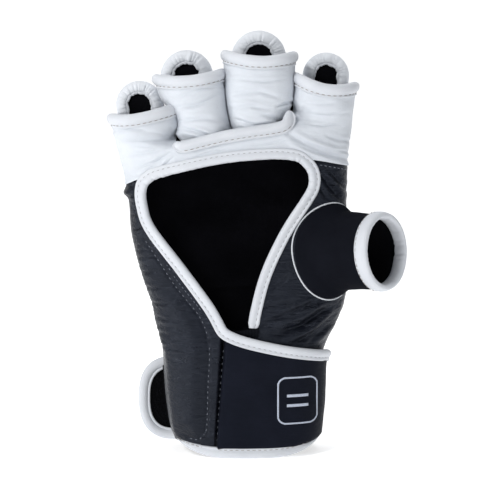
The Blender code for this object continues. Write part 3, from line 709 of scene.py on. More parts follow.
def white_creases(x, z, points):
    """Heights of the white leather's folds, mm."""
    height = 0.34 * fractal(points, 13.0, 2, stretch=(1.6, 1, 0.8))
    height += 0.12 * fractal(points, 3.5, 3, stretch=(2.2, 1, 0.9))
    fan = (
        ((-41, 161), (-50, 156), (-60, 152.5)), ((-42, 164), (-52, 161.5), (-64, 159.5)),
        ((-42, 167), (-54, 167), (-66, 166)), ((-40, 158.5), (-47, 152.5)), ((-44, 170), (-57, 172)),
        ((-46, 158), (-55, 150.5)), ((-50, 163.5), (-60, 164.5)),
    )
    for i, line in enumerate(fan):
        height += crease(x, z, line, 0.65 + 0.2 * (i % 3), 0.8 - 0.06 * i)
    for line, width, depth in (
        (((20, 170.5), (29, 165.5), (40, 161.0), (52, 157.0)), 1.2, 2.0),
        (((23, 166.0), (33, 161.6), (44, 158.4)), 0.8, 0.8),
        (((30, 181.0), (41, 180.0), (52, 181.5)), 0.8, 0.6),
        (((29, 176.0), (38, 175.0), (48, 176.0)), 0.6, 0.5),
        (((24, 188.0), (33, 186.0), (44, 187.0)), 0.9, 0.5),
        (((40, 170.0), (47, 167.5), (54, 166.5)), 0.8, 0.7),
        (((36, 164.0), (45, 161.5), (54, 160.8)), 0.7, 0.6),
        (((-30, 158.0), (-20, 161.5), (-8, 163.2)), 0.6, 0.45),
        (((2, 165.2), (12, 166.0), (20, 168.2)), 0.6, 0.5),
        (((-74, 172.0), (-64, 173.5), (-52, 173.0)), 0.8, 0.5),
    ):
        height += crease(x, z, line, width, depth)
    return height


def roll_in(t, low, high, width=3.5, depth=1.6):
    """How far a panel's edges turn in at the side seams."""
    return -depth * (bump((t - low) / width) + bump((t - high) / width))


def make_white_palm():
    """The palm panel with the pinky and index sleeves, one skin split where the two hinges part."""
    left_side, right_side = 173.0, 367.0
    bar_left = float(palm_angle(BAR_LEFT_X, 163.0))
    bar_right = float(palm_angle(BAR_RIGHT_X, 171.5))
    counts = (90, 110, 95)
    t = np.concatenate([
        np.linspace(left_side, bar_left, counts[0] + 1), np.linspace(bar_left, bar_right, counts[1] + 1)[1:],
        np.linspace(bar_right, right_side, counts[2] + 1)[1:],
    ])
    low = np.full(len(t), 150.0)
    for _ in range(4):
        low = SEAM_AND_OPENING(sleeve(t, low)[:, 0])
    mid = np.full(len(t), 165.0)
    for _ in range(3):
        mid = bar_low(np.clip(sleeve(t, mid)[:, 0], BAR_LEFT_X, BAR_RIGHT_X)) + 1.6
    low_rows, up_rows = 34, 56
    share = np.linspace(0, 1, low_rows + 1)[:, None]
    z = low + (mid - low) * share
    lower = sleeve(np.broadcast_to(t, z.shape), z)
    blocks = [lower.reshape(-1, 3)]
    faces = [quads(*z.shape)]
    angles = [np.broadcast_to(t, z.shape).reshape(-1)]
    top_row = np.arange(len(t)) + low_rows * len(t)
    edges = {
        "pinky": (0, counts[0] + 1, 132.0, 392.0), "index": (len(t) - counts[2] - 1, len(t), 148.0, 408.0),
    }
    for key, (start, end, a_low, a_high) in edges.items():
        finger = FINGERS[key]
        columns = np.arange(start, end)
        a = np.linspace(a_low, a_high, len(columns))
        v = np.linspace(0, 1, up_rows + 1)[1:, None]
        high = loop_top(finger, a) - LOOP_BAND * 0.5
        z_start = mid[columns]
        z_up = z_start + (finger["z"] + high - z_start) * v
        hand = sleeve(np.broadcast_to(t[columns], z_up.shape), z_up)
        along = (z_start - finger["z"]) + (high - (z_start - finger["z"])) * v
        tube_part = loop_point(finger, np.broadcast_to(a, along.shape), along)
        s = smooth(v / 0.6)[..., None]
        block = hand * (1 - s) + tube_part * s
        base = sum(len(b) for b in blocks)
        index = np.concatenate([top_row[columns][None], np.arange(block.shape[0] * block.shape[1]).reshape(
            block.shape[:2]) + base])
        cell = np.stack([index[:-1, :-1], index[:-1, 1:], index[1:, 1:], index[1:, :-1]], axis=-1)
        faces.append(cell.reshape(-1, 4))
        blocks.append(block.reshape(-1, 3))
        angles.append(np.broadcast_to(t[columns], z_up.shape).reshape(-1))
    points, faces, angle = np.concatenate(blocks), np.concatenate(faces), np.concatenate(angles)
    height = white_creases(points[:, 0], points[:, 2], points)
    height += roll_in(angle, left_side, right_side)
    height += 0.5 * bump((points[:, 2] - SEAM_AND_OPENING(points[:, 0]) - 0.6) / 1.4)
    points = displaced(points, faces, height)
    normals = point_normals(points, faces)
    right = angle[faces].mean(axis=1) > bar_right
    for name, keep, key in (("palm_and_pinky", ~right, "pinky"), ("index_sleeve", right, "index")):
        item = leather_piece(name, points, faces, LEATHER, [WHITE, KNIT], keep=keep, normals=normals)
        nodes = ("palm_panel", "pinky_loop") if key == "pinky" else ("index_loop",)
        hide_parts(*nodes)
        join_finger(item)


def make_inner_sleeve(key, folds):
    """The ring or middle finger's sleeve, which comes out from behind the bar."""
    finger = FINGERS[key]
    a = np.linspace(132, 408, 170)
    v = np.linspace(0, 1, 90)[:, None]
    high = loop_top(finger, a) - LOOP_BAND * 0.5
    along = -6.5 + (high + 6.5) * v
    inset = 2.6 * (1 - smooth((along + 3) / 7.0))
    points = loop_point(finger, np.broadcast_to(a, along.shape), along, inset)
    flat = points.reshape(-1, 3)
    faces = quads(*along.shape)
    across = np.broadcast_to(rounded(np.cos(np.radians(a))) * 16.0, along.shape).reshape(-1)
    height = 0.35 * fractal(flat, 12.0, finger["x"], stretch=(1.8, 1, 0.8))
    height += 0.10 * fractal(flat, 3.0, 5, stretch=(2.2, 1, 0.8))
    for line, width, depth in folds:
        height += crease(across, along.reshape(-1), line, width * 0.7, depth * 1.9)
    flat = displaced(flat, faces, height)
    item = leather_piece(f"{key}_sleeve", flat, faces, LEATHER, [WHITE, KNIT])
    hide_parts(f"{key}_loop")
    join_finger(item)


LOOP_PROFILE = np.array((
    (-3.7, 0.2), (-3.8, 0.75), (-3.45, 0.95), (-3.0, 0.7), (-2.65, 0.35), (-2.2, 0.8), (-1.5, 1.45),
    (-0.5, 1.9), (0.7, 2.05), (1.8, 1.85), (2.7, 1.25), (3.25, 0.2), (3.3, -0.9), (2.9, -2.0), (1.9, -2.6),
    (0.6, -2.7), (-0.9, -2.4), (-2.2, -1.9), (-3.2, -1.2),
))


def make_loop_band(key):
    """The thick rolled binding round a finger loop's edge."""
    finger = FINGERS[key]
    a = np.linspace(126, 414, 220)
    along = loop_top(finger, a) - LOOP_BAND * 0.5
    line = loop_point(finger, a, along)
    ends = smooth(np.minimum(a - 126, 414 - a) / 16)
    around = loop_point(finger, a + 0.5, along) - loop_point(finger, a - 0.5, along)
    up = loop_point(finger, a, along + 0.5) - loop_point(finger, a, along - 0.5)
    normals = np.cross(around, up)
    normals /= np.linalg.norm(normals, axis=1, keepdims=True)
    line = line - normals * (1 - ends[:, None]) * 2.0
    profile = np.repeat(LOOP_PROFILE[None], len(a), axis=0)
    uneven = fractal(line, 9.0, 7, octaves=2)
    profile *= (0.72 + 0.28 * ends + 0.05 * uneven)[:, None, None]
    grid = swept(line, normals, profile)
    item = tube(f"{key}_loop_band", grid, [ROLLED])
    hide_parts(f"{key}_loop_binding")
    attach(item, key)
    seam = stitches(f"{key}_loop_stitches", offset_line(line, normals, -2.65, 0.47)[8:-8], normals[8:-8],
                    STITCH_SHADOW_THREAD, pitch=3.1)
    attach(seam, key)


PAD_MIDDLE_Y, PAD_ROUND, PAD_HALF_DEPTH, PAD_LOW = 15.6, 0.345, 6.8, -7.0
PAD_FRONT = PAD_MIDDLE_Y - PAD_HALF_DEPTH


def pad_outline(finger):
    """Points of a pad's U outline and of the spine line that each belongs to, across and along."""
    half, turn = finger["pad"], finger["tip"] - finger["pad"]
    leg = turn - PAD_LOW
    total = 2 * leg + math.pi * half
    s = np.linspace(0, total, 250)
    angle = np.clip((s - leg) / half, 0, math.pi)
    across = -np.cos(angle)
    down = np.where(s > total - leg, PAD_LOW + total - s, turn + half * np.sin(angle))
    along = np.where(s < leg, PAD_LOW + s, down)
    spine = np.minimum(along, turn)
    return s, across, along, spine, half, np.where((s > leg) & (s < total - leg), np.sin(angle), 0)


def make_pad(key):
    """A finger's padded tongue: crowned back, puffy rim gathered inside, turned strip and lining."""
    finger = FINGERS[key]
    s, across, along, spine, half, arc = pad_outline(finger)
    flat_half = half * (1 - PAD_ROUND)
    turn = np.radians(np.linspace(90, -90, 17))
    flat = np.linspace(0, flat_half, 9)[:-1]
    radial = np.concatenate([flat, half * PAD_ROUND * rounded(np.cos(turn)) + flat_half,
                             flat_half + np.array([-0.15, 0.1, 0.4])])
    crown = 1.6 * (1 - (flat / half) ** 2)
    depth = np.concatenate([PAD_MIDDLE_Y + PAD_HALF_DEPTH + crown - crown[-1],
                            PAD_MIDDLE_Y + PAD_HALF_DEPTH * rounded(np.sin(turn)),
                            PAD_FRONT + np.array([0.5, 1.4, 2.6])])
    q = np.linspace(0, 1, len(radial))
    share = radial / half
    u, w = across[:, None] * half * share, spine[:, None] + (along - spine)[:, None] * share
    straight = arc[:, None] == 0
    w = np.where(straight, along[:, None], w)
    y = np.broadcast_to(depth, u.shape).copy()
    pleat = gathers(s, 2.4, finger["x"])[:, None]
    tight = gathers(s, 1.3, finger["x"] + 3.0)[:, None]
    turned = 0.45 + 0.55 * smooth(arc[:, None] * 1.5)
    y -= (0.6 * pleat * smooth((q - 0.5) / 0.25) + 0.65 * tight * smooth((q - 0.66) / 0.2)) * turned
    puff = fractal(finger_point(finger, u, y, w), 9.0, 3, octaves=2)
    y += 0.25 * puff
    points = finger_point(finger, u + finger["shift"], y, w).reshape(-1, 3)
    faces = quads(*u.shape)[:, ::-1]
    # The pad skin takes the lighter copy of the white leather: painted light.
    item = leather_piece(f"{key}_pad_skin", points, faces, 0.9, [PAD_WHITE_PAINTED_LIGHT])
    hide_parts(f"{key}_pad_cover", f"{key}_pad_foam")
    join_finger(item)

    strip_half = flat_half - 1.15
    wave = 0.8 * np.array([noise.fractal((v / 3.4, 1.7, finger["x"]), 0.9, 2.0, 2) for v in s])
    line = finger_point(finger, across * (strip_half + wave) + finger["shift"],
                        PAD_FRONT + 0.6 + 0.4 * wave,
                        np.where(arc == 0, along, spine + (along - spine) * (strip_half + wave) / half))
    normals = np.broadcast_to((0.0, -1.0, 0.0), line.shape)
    ribbon = np.array([(0.85 * c, 0.5 * s_) for c, s_ in ((math.cos(v), math.sin(v)) for v in
                                                          np.linspace(0, math.tau, 9)[:-1])])
    item = tube(f"{key}_pad_strip", swept(line, normals, ribbon), [ROLLED])
    join_finger(item)

    lining_half = flat_half + 0.25
    rows, columns = 44, 25
    v = np.linspace(0, 1, rows)[:, None]
    c = np.linspace(-1, 1, columns)[None]
    top = finger["tip"] - finger["pad"] + lining_half * np.sqrt(np.clip(1 - c**2, 0.0, 1))
    up = PAD_LOW + (top - PAD_LOW) * v
    flat = finger_point(finger, lining_half * c + finger["shift"], PAD_FRONT + 1.4, up)
    flat = flat.reshape(-1, 3)
    flat[:, 1] += 0.3 * fractal(flat, 7.0, 4) - crease(flat[:, 0] - finger["x"], flat[:, 2] - finger["z"],
                                                      ((-9, 30), (9, 31)), 0.8, 0.5)
    item = leather_piece(f"{key}_pad_face", flat, quads(rows, columns), 0.8, [KNIT])
    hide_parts(f"{key}_pad_lining")
    join_finger(item)


BAR_LINE = (
    (-38.2, 166.9), (-37.0, 164.8), (-33.0, 164.6), (-25.0, 166.6), (-12.5, 169.6), (2.0, 172.0),
    (14.0, 173.8), (18.6, 175.6), (20.4, 179.0), (20.6, 183.0),
)
BAR_PROFILE = np.array((
    (-3.5, -0.4), (-3.7, 0.35), (-3.3, 0.85), (-2.8, 0.55), (-2.4, 0.35), (-1.9, 0.9), (-1.0, 1.9),
    (0.2, 2.5), (1.5, 2.35), (2.6, 1.5), (3.1, 0.2), (2.8, -1.3), (1.4, -2.0), (-0.8, -1.8), (-2.6, -1.2),
))


def make_bar():
    line, normals = palm_line(BAR_LINE, lift=0.5)
    run = run_length(line)
    near = np.minimum(run, (run[-1] - run) / 1.6)
    taper = np.sqrt(np.clip(1 - np.square(1 - np.clip(near / 3.4, 0, 1)), 0.02, 1))
    sink = 3.5 * (1 - smooth((run[-1] - run) / 9.0))
    line = line - normals * sink[:, None]
    profile = BAR_PROFILE[None] * taper[:, None, None]
    profile = profile * (1 + 0.04 * fractal(line, 8.0, 9, octaves=2))[:, None, None]
    item = tube("finger_bar", swept(line, normals, profile), [ROLLED])
    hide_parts("finger_bar_binding")
    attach(item, "hand")
    seam = offset_line(line, normals, -2.4, 0.42)
    seam = stitches("finger_bar_stitches", seam[6:-10], normals[6:-10], STITCH_SHADOW_THREAD, pitch=3.1)
    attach(seam, "hand")


# ---------------------------------------------------------------- black leather of the palm
HEM_RISE = 8.5


def hem_rise(t):
    return np.abs(np.cos(np.radians(t))) ** 3


HEEL_STITCH = (
    (-56.2, 115.0), (-48.2, 103.2), (-41.0, 92.4), (-33.2, 82.8), (-27.0, 75.2), (-22.8, 66.0),
    (-21.4, 56.0), (-22.3, 38.0), (-22.8, 20.8), (-23.6, 13.6), (-27.4, 9.4), (-33.5, 9.6),
)
HEEL_PAD = (*HEEL_STITCH, (-80.0, 9.6), (-80.0, 120.0))
ARM_X = reader([(z, x) for x, z in (
    (-14.6, 66.0), (-17.6, 72.6), (-22.9, 81.4), (-36.8, 100.2), (-52.0, 120.6), (-56.2, 132.2),
    (-57.0, 141.0), (-56.0, 150.0),
)])
THUMB_ARM_X = reader([(z, x) for x, z in (
    (2.4, 60.0), (2.9, 72.0), (3.9, 80.0), (7.0, 93.0), (12.0, 105.6), (20.0, 121.0), (31.0, 137.6),
    (33.9, 144.0), (33.4, 150.6), (31.5, 158.0),
)])


def grain_folds(points, along_x, seed):
    """Fine, mostly level stretch wrinkles of black leather."""
    ridges = 1 - np.abs(fractal(points, 5.0, seed, octaves=4, stretch=along_x))
    return 0.5 * (ridges - 0.8) + 0.35 * fractal(points, 18.0, seed + 1)


def make_pinky_panel():
    rows, columns = 190, 100
    v, c = np.linspace(0, 1, rows)[:, None], np.linspace(0, 1, columns)[None]
    side = 174.0
    x_high = np.linspace(-66.0, -57.0, columns)[None]
    high = SEAM_AND_OPENING(x_high) + 1.2
    low = 4.4 + 3.0 * hem_rise(180.0 + 50.0 * c)
    z = low + (high - low) * v
    edge_z = z[:, -1:]
    edge_x = np.where(edge_z > 66.0, ARM_X(edge_z), -14.4 + (edge_z - 66) * 0.045)
    edge_t = palm_angle(edge_x, edge_z)
    t = side + (edge_t - side) * c
    points = sleeve(t, z).reshape(-1, 3)
    faces = quads(rows, columns)
    x, _, zz = points.T
    d, _ = line_distance(x, zz, HEEL_STITCH)
    pad = inside(x, zz, HEEL_PAD)
    angle = t.reshape(-1)
    upper = smooth((zz - 50) / 25)
    fade = smooth((angle - 192 + 20 * upper) / 20) * smooth((118 - zz) / 36)
    height = np.where(pad, 2.3 * smooth(d / 9.0), 0.0) * fade
    height -= 0.55 * bump(d / 0.8)
    strip = (~pad) & (x > -26) & (zz < 66)
    height += np.where(strip, 0.5 * smooth(d / 2.0), 0)
    height -= 2.2 * smooth((x - np.interp(zz, (6, 64), (-19.1, -15.6))) / 1.6) * (zz < 66)
    wrinkled = 0.35 + 0.65 * smooth((zz - 45) / 12) * (1 - 0.3 * smooth((zz - 100) / 15))
    at_side = smooth((angle - 184) / 14)
    height += wrinkled * (0.35 + 0.5 * at_side) * grain_folds(points, (2.2, 1.5, 0.42), 11)
    for x0, z0, x1, z1, depth in (
        (-64, 127, -56, 131, 0.6), (-65, 120, -57, 122, 0.5), (-63, 111, -54, 114, 0.45),
        (-61, 105, -50, 107, 0.5), (-59, 98, -47, 99, 0.5), (-57, 90, -42, 90.5, 0.5),
        (-54, 82, -40, 82, 0.45), (-51, 74, -36, 73, 0.4), (-50, 66, -34, 65, 0.4),
        (-49, 59, -30, 57.5, 0.35), (-65, 137, -58, 141, 0.8),
    ):
        line = (x0, z0), ((x0 + x1) / 2, (z0 + z1) / 2 - 0.8), (x1, z1)
        height += crease(x, zz, line, 0.7, 1.2 * depth * (0.25 + 0.75 * at_side))
    height += 2.2 * bump(np.hypot((x + 66.5) / 5.0, (zz - 139.5) / 2.4))
    height -= 1.6 * bump((angle - side) / 3.5)
    height -= 1.6 * bump((np.broadcast_to(high, z.shape).reshape(-1) - zz) / 1.6)
    points = displaced(points, faces, height)
    item = leather_piece("pinky_side_skin", points, faces, LEATHER, [BLACK, KNIT])
    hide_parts("pinky_side_panel", "heel_pad")
    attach(item, "hand")
    line, normals = palm_line(HEEL_STITCH, lift=-0.35)
    seam = stitches("heel_pad_stitches", line, normals, GREY_THREAD, pitch=2.9, length=1.2, radius=0.19)
    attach(seam, "hand")
    upper = [(x + 2.3, z + 1.6) for x, z in HEEL_STITCH[:5]]
    line, normals = palm_line(upper, lift=0.0)
    seam = stitches("heel_pad_second_stitches", line, normals, GREY_THREAD, pitch=2.4, length=1.4,
                    radius=0.15)
    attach(seam, "hand")


def thumb_local(points):
    """Places across, up and along the thumb's own axis."""
    from_base = points - THUMB_BASE
    return from_base @ THUMB_ACROSS, from_base @ THUMB_UP, from_base @ THUMB_DIRECTION


def make_thumb_panel():
    rows, columns = 190, 90
    v, c = np.linspace(0, 1, rows)[:, None], np.linspace(0, 1, columns)[None]
    side = 366.0
    x_high = np.linspace(32.0, 52.0, columns)[None]
    high = SEAM_AND_OPENING(x_high) + 1.0
    z = CUFF_TOP + (high - CUFF_TOP) * v
    edge_z = z[:, :1]
    edge_x = np.where(edge_z > 60.0, THUMB_ARM_X(edge_z), 3.0)
    edge_t = palm_angle(edge_x, edge_z)
    t = edge_t + (side - edge_t) * c
    points = sleeve(t, z).reshape(-1, 3)
    faces = quads(rows, columns)
    x, _, zz = points.T
    height = 0.6 * grain_folds(points, (1.2, 1.2, 1.0), 21)
    for line, width, depth in (
        (((36, 152), (43, 142), (50, 134)), 1.6, 0.9), (((40, 153), (47, 146), (51.5, 141)), 1.3, 0.7),
        (((34, 146), (40, 138), (47, 132)), 1.2, 0.7), (((8, 72), (22, 77), (38, 84)), 1.5, 0.9),
        (((14, 66), (28, 70), (44, 80)), 2.4, 1.8), (((22, 60), (34, 66), (46, 76)), 1.8, 1.3),
        (((8, 80), (18, 82), (28, 84)), 1.2, 0.5), (((12, 90), (18, 94), (21, 98)), 1.0, 0.4),
        (((30, 60), (38, 66), (45, 72)), 1.4, 0.9), (((10, 74), (20, 74), (32, 78)), 1.0, 0.5),
    ):
        height += crease(x, zz, line, width * 0.85, depth * 1.5)
    height -= 1.6 * bump((t.reshape(-1) - side) / 3.5)
    height -= 1.5 * bump((np.broadcast_to(high, z.shape).reshape(-1) - zz) / 1.3)
    wide, tall, along = thumb_local(points)
    wide = wide - seam_sway(np.arctan2(tall / THUMB_SEAM_HALF[1], wide / THUMB_SEAM_HALF[0]))
    height *= smooth((np.hypot(wide / THUMB_SEAM_HALF[0], tall / THUMB_SEAM_HALF[1]) - 1.02) / 0.2)
    points = displaced(points, faces, height)
    middle = points[faces].mean(axis=1)
    wide, tall, along = thumb_local(middle)
    wide = wide - seam_sway(np.arctan2(tall / THUMB_SEAM_HALF[1], wide / THUMB_SEAM_HALF[0]))
    hole = (wide / (THUMB_SEAM_HALF[0] - 3.0)) ** 2 + (tall / (THUMB_SEAM_HALF[1] - 3.0)) ** 2 < 1
    item = leather_piece("thumb_side_skin", points, faces, LEATHER, [BLACK, KNIT], keep=~hole)
    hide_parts("thumb_side_panel")
    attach(item, "hand")
    line, normals = palm_line(((35.5, 154.6), (43.0, 153.2), (51.4, 151.6)), lift=0.3)
    seam = stitches("thumb_side_top_stitches", line, normals, GREY_THREAD, pitch=2.6, length=1.6,
                    radius=0.18)
    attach(seam, "hand")


def make_gusset():
    rows, columns = 60, 50
    v, c = np.linspace(0, 1, rows)[:, None], np.linspace(0, 1, columns)[None]
    x = -14.0 + 18.4 * c
    z = 7.0 + (66.0 + 3.4 * c - 7.0) * v
    x = np.broadcast_to(x, z.shape)
    points = sleeve(palm_angle(x, z), z, 1.2 - 3.0 * smooth((z - 60) / 8)).reshape(-1, 3)
    faces = quads(rows, columns)
    height = 0.25 * np.sin(points[:, 0] * math.tau / 1.6) + 0.3 * fractal(points, 8.0, 31)
    points = displaced(points, faces, height)
    item = leather_piece("elastic_gusset", points, faces, 1.0, [ELASTIC])
    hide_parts("wrist_gusset")
    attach(item, "hand")


OPENING_HOLE = curve(BAND[:22], 2.0)


def make_lining():
    rows, columns = 110, 150
    z = np.linspace(7.0, LINING_TOP, rows)[:, None]
    t = (np.arange(columns) * 360.0 / columns)[None]
    t, z = np.broadcast_arrays(t, z)
    behind = np.sin(np.radians(t)) > 0
    padding = PADDING(z)
    back = sleeve(t, z, padding + 0.3, SIDE_PADDING + 0.3)
    palm = sleeve(t, z, LINING_BEHIND_PALM, SIDE_PADDING + 0.3)
    points = np.where(behind[..., None], back, palm).reshape(-1, 3)
    faces = quads(rows, columns, ring=True)[:, ::-1]
    x, _, zz = points.T
    seam = 86.5 + 0.06 * (x + 10)
    height = 0.5 * fractal(points, 22.0, 41) + 0.15 * fractal(points, 5.0, 42)
    height += 0.7 * bump((zz - seam) / 1.2) - 0.5 * bump((zz - seam + 2.2) / 0.8)
    points = displaced(points, faces, height)
    middle = points[faces].mean(axis=1)
    wide, tall, along = thumb_local(middle)
    thumb = ((wide / 16.0) ** 2 + (tall / 23.0) ** 2 < 1) & (along > -14)
    open_palm = inside(middle[:, 0], middle[:, 2], OPENING_HOLE) & (middle[:, 1] < 0)
    item = leather_piece("hand_lining_skin", points, faces, LINING, [KNIT], keep=~(thumb | open_palm))
    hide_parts("hand_lining")
    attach(item, "hand")


# ---------------------------------------------------------------- back of the hand
FINGER_GAPS = (-40.0, -10.5, 20.0)
BACK_SEAMS = (
    ((-26.0, 45.0), (-27.5, 80.0), (-33.0, 110.0), (-40.0, 131.0)),
    ((16.0, 45.0), (17.0, 80.0), (18.5, 110.0), (20.0, 131.0)),
)


def make_back():
    rows, columns = 130, 150
    v, c = np.linspace(0, 1, rows)[:, None], np.linspace(0, 1, columns)[None]
    t = 2.0 + 176.0 * c
    z = CUFF_TOP + (PAD_SPLIT_Z - CUFF_TOP) * v
    t, z = np.broadcast_arrays(t, z)
    points = sleeve(t, z).reshape(-1, 3)
    faces = quads(rows, columns)
    x, _, zz = points.T
    height = 0.45 * grain_folds(points, (1.6, 1.4, 1.0), 51)
    height += 1.2 * smooth((zz - 60) / 20)
    for line in BACK_SEAMS:
        d, _ = line_distance(x, zz, line)
        height -= 1.5 * bump(d / 1.8)
    height -= 2.0 * bump((zz - PAD_SPLIT_Z) / 2.2)
    angle = t.reshape(-1)
    height += roll_in(angle, 2.0, 178.0, 3.5, 1.8)
    points = displaced(points, faces, height)
    wide, tall, along = thumb_local(points[faces].mean(axis=1))
    hole = (wide / (THUMB_SEAM_HALF[0] - 3.0)) ** 2 + (tall / (THUMB_SEAM_HALF[1] - 3.0)) ** 2 < 1
    hole &= along > -12
    item = leather_piece("back_skin", points, faces, LEATHER, [BLACK, KNIT], keep=~hole)
    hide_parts("back_cover", "back_foam")
    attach(item, "hand")


def back_line(points, lift=0.0):
    """The same over the back of the hand."""
    line = curve(points, LINE_STEP)
    left, right, _, _ = np.moveaxis(STATION(line[:, 1]), -1, 0)
    ratio = (line[:, 0] - (left + right) / 2) / ((right - left) / 2)
    t = np.degrees(np.arccos(np.sign(ratio) * np.abs(ratio) ** (SECTION_POWER / 2)))
    return sleeve(t, line[:, 1], -lift), sleeve_normal(t, line[:, 1])


def make_knuckles():
    """The white padded bolster over the knuckles, rounded over at its top."""
    rows, columns = 96, 190
    v = np.linspace(0, 1, rows)[:, None]
    t = (4.0 + 172.0 * np.linspace(0, 1, columns))[None]
    x_guess = sleeve(t, np.full_like(t, 160.0))[..., 0]
    top = np.interp(x_guess, (-75, -55, -25, 4, 38, 52), (158, 161, 167, 170, 168, 164))
    radius = 10.0
    straight = top - radius - PAD_SPLIT_Z - 0.6
    length = straight + radius * math.pi / 2 + 9.0
    s = v * length
    turn = np.clip((s - straight) / radius, 0, math.pi / 2)
    beyond = np.clip(s - straight - radius * math.pi / 2, 0, None)
    z = PAD_SPLIT_Z + 0.6 + np.minimum(s, straight) + radius * np.sin(turn)
    inset = radius * (1 - np.cos(turn)) + beyond
    t, z = np.broadcast_arrays(t, z)
    points = sleeve(t, z, inset, inset * 0.35).reshape(-1, 3)
    faces = quads(rows, columns)
    x, _, zz = points.T
    height = 0.35 * fractal(points, 14.0, 61) + 0.1 * fractal(points, 3.5, 62)
    upper = smooth((zz - 138) / 10)
    for gap in FINGER_GAPS:
        height -= 2.2 * bump((x - gap) / 2.6) * upper
    height -= 1.4 * bump((zz - 148.0) / 1.7)
    height -= 2.2 * bump((zz - PAD_SPLIT_Z - 0.6) / 2.6)
    height += 1.5
    angle = t.reshape(-1)
    height += roll_in(angle, 4.0, 176.0, 4.0, 3.2)
    points = displaced(points, faces, height)
    item = leather_piece("knuckle_skin", points, faces, LEATHER, [WHITE, KNIT])
    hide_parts("knuckle_cover", "knuckle_foam")
    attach(item, "hand")
    for name, level, lift in (("knuckle_low_stitches", PAD_SPLIT_Z + 4.2, 0.9),
                              ("knuckle_channel_stitches", 148.0, 0.15)):
        line, normals = back_line(((-60, level), (-30, level), (0, level), (30, level), (48, level)), lift)
        seam = stitches(name, line, normals, STITCH_SHADOW_THREAD)
        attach(seam, "hand")
    for i, points in enumerate(BACK_SEAMS):
        line, normals = back_line(points, -0.25)
        seam = stitches(f"back_stitches_{i}", line, normals, GREY_THREAD, pitch=2.6)
        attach(seam, "hand")


def make_gap_sheets():
    """Narrow dark knit sheets that stand between the finger sleeves and close the gaps there."""
    for i, (x, top) in enumerate(((-37.6, 172.0), (-10.0, 178.0), (21.8, 190.5))):
        rows, columns = 30, 9
        v, c = np.linspace(0, 1, rows)[:, None], np.linspace(-1, 1, columns)[None]
        half = 3.8 * np.sqrt(np.clip(1 - np.clip(v - 0.8, 0, 1) ** 2 / 0.045, 0.03, 1))
        grid = np.stack([x + half * c, 8.0 + 1.2 * c**2 + 0 * v, 153.0 + (top - 153.0) * v + 0 * c], axis=-1)
        item = leather_piece(f"finger_gap_sheet_{i}", grid, quads(rows, columns), 1.0, [KNIT])
        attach(item, "hand")


# ---------------------------------------------------------------- thumb
def hand_value(p):
    """Negative inside the hand's outer surface and positive outside it."""
    left, right, palm, back = np.moveaxis(STATION(p[..., 2]), -1, 0)
    depth = np.where(p[..., 1] > 0, back, palm)
    across = np.abs((p[..., 0] - (left + right) / 2) / ((right - left) / 2))
    return across**SECTION_POWER + np.abs(p[..., 1] / depth) ** SECTION_POWER - 1


def seam_sway(a):
    """How far the seam's oval leans round the palm: little at its side, much at its foot."""
    return 0.65 * np.cos(a) ** 2 + np.where(np.sin(a) > 0, 1.55, 5.0) * np.sin(a) ** 2


def thumb_seam(count, half, lift=0.0):
    """Where an oval tube along the thumb leaves the hand's surface."""
    a = np.linspace(0, math.tau, count, endpoint=False)
    base = THUMB_BASE + np.outer(np.cos(a) * half[0] + seam_sway(a), THUMB_ACROSS)
    base += np.outer(np.sin(a) * half[1], THUMB_UP)
    low, high = np.full(count, -26.0), np.full(count, 34.0)
    for _ in range(30):
        mid = (low + high) / 2
        out = hand_value(base + mid[:, None] * THUMB_DIRECTION) > 0
        low, high = np.where(out, low, mid), np.where(out, mid, high)
    return a, base + (low[:, None] + lift) * THUMB_DIRECTION


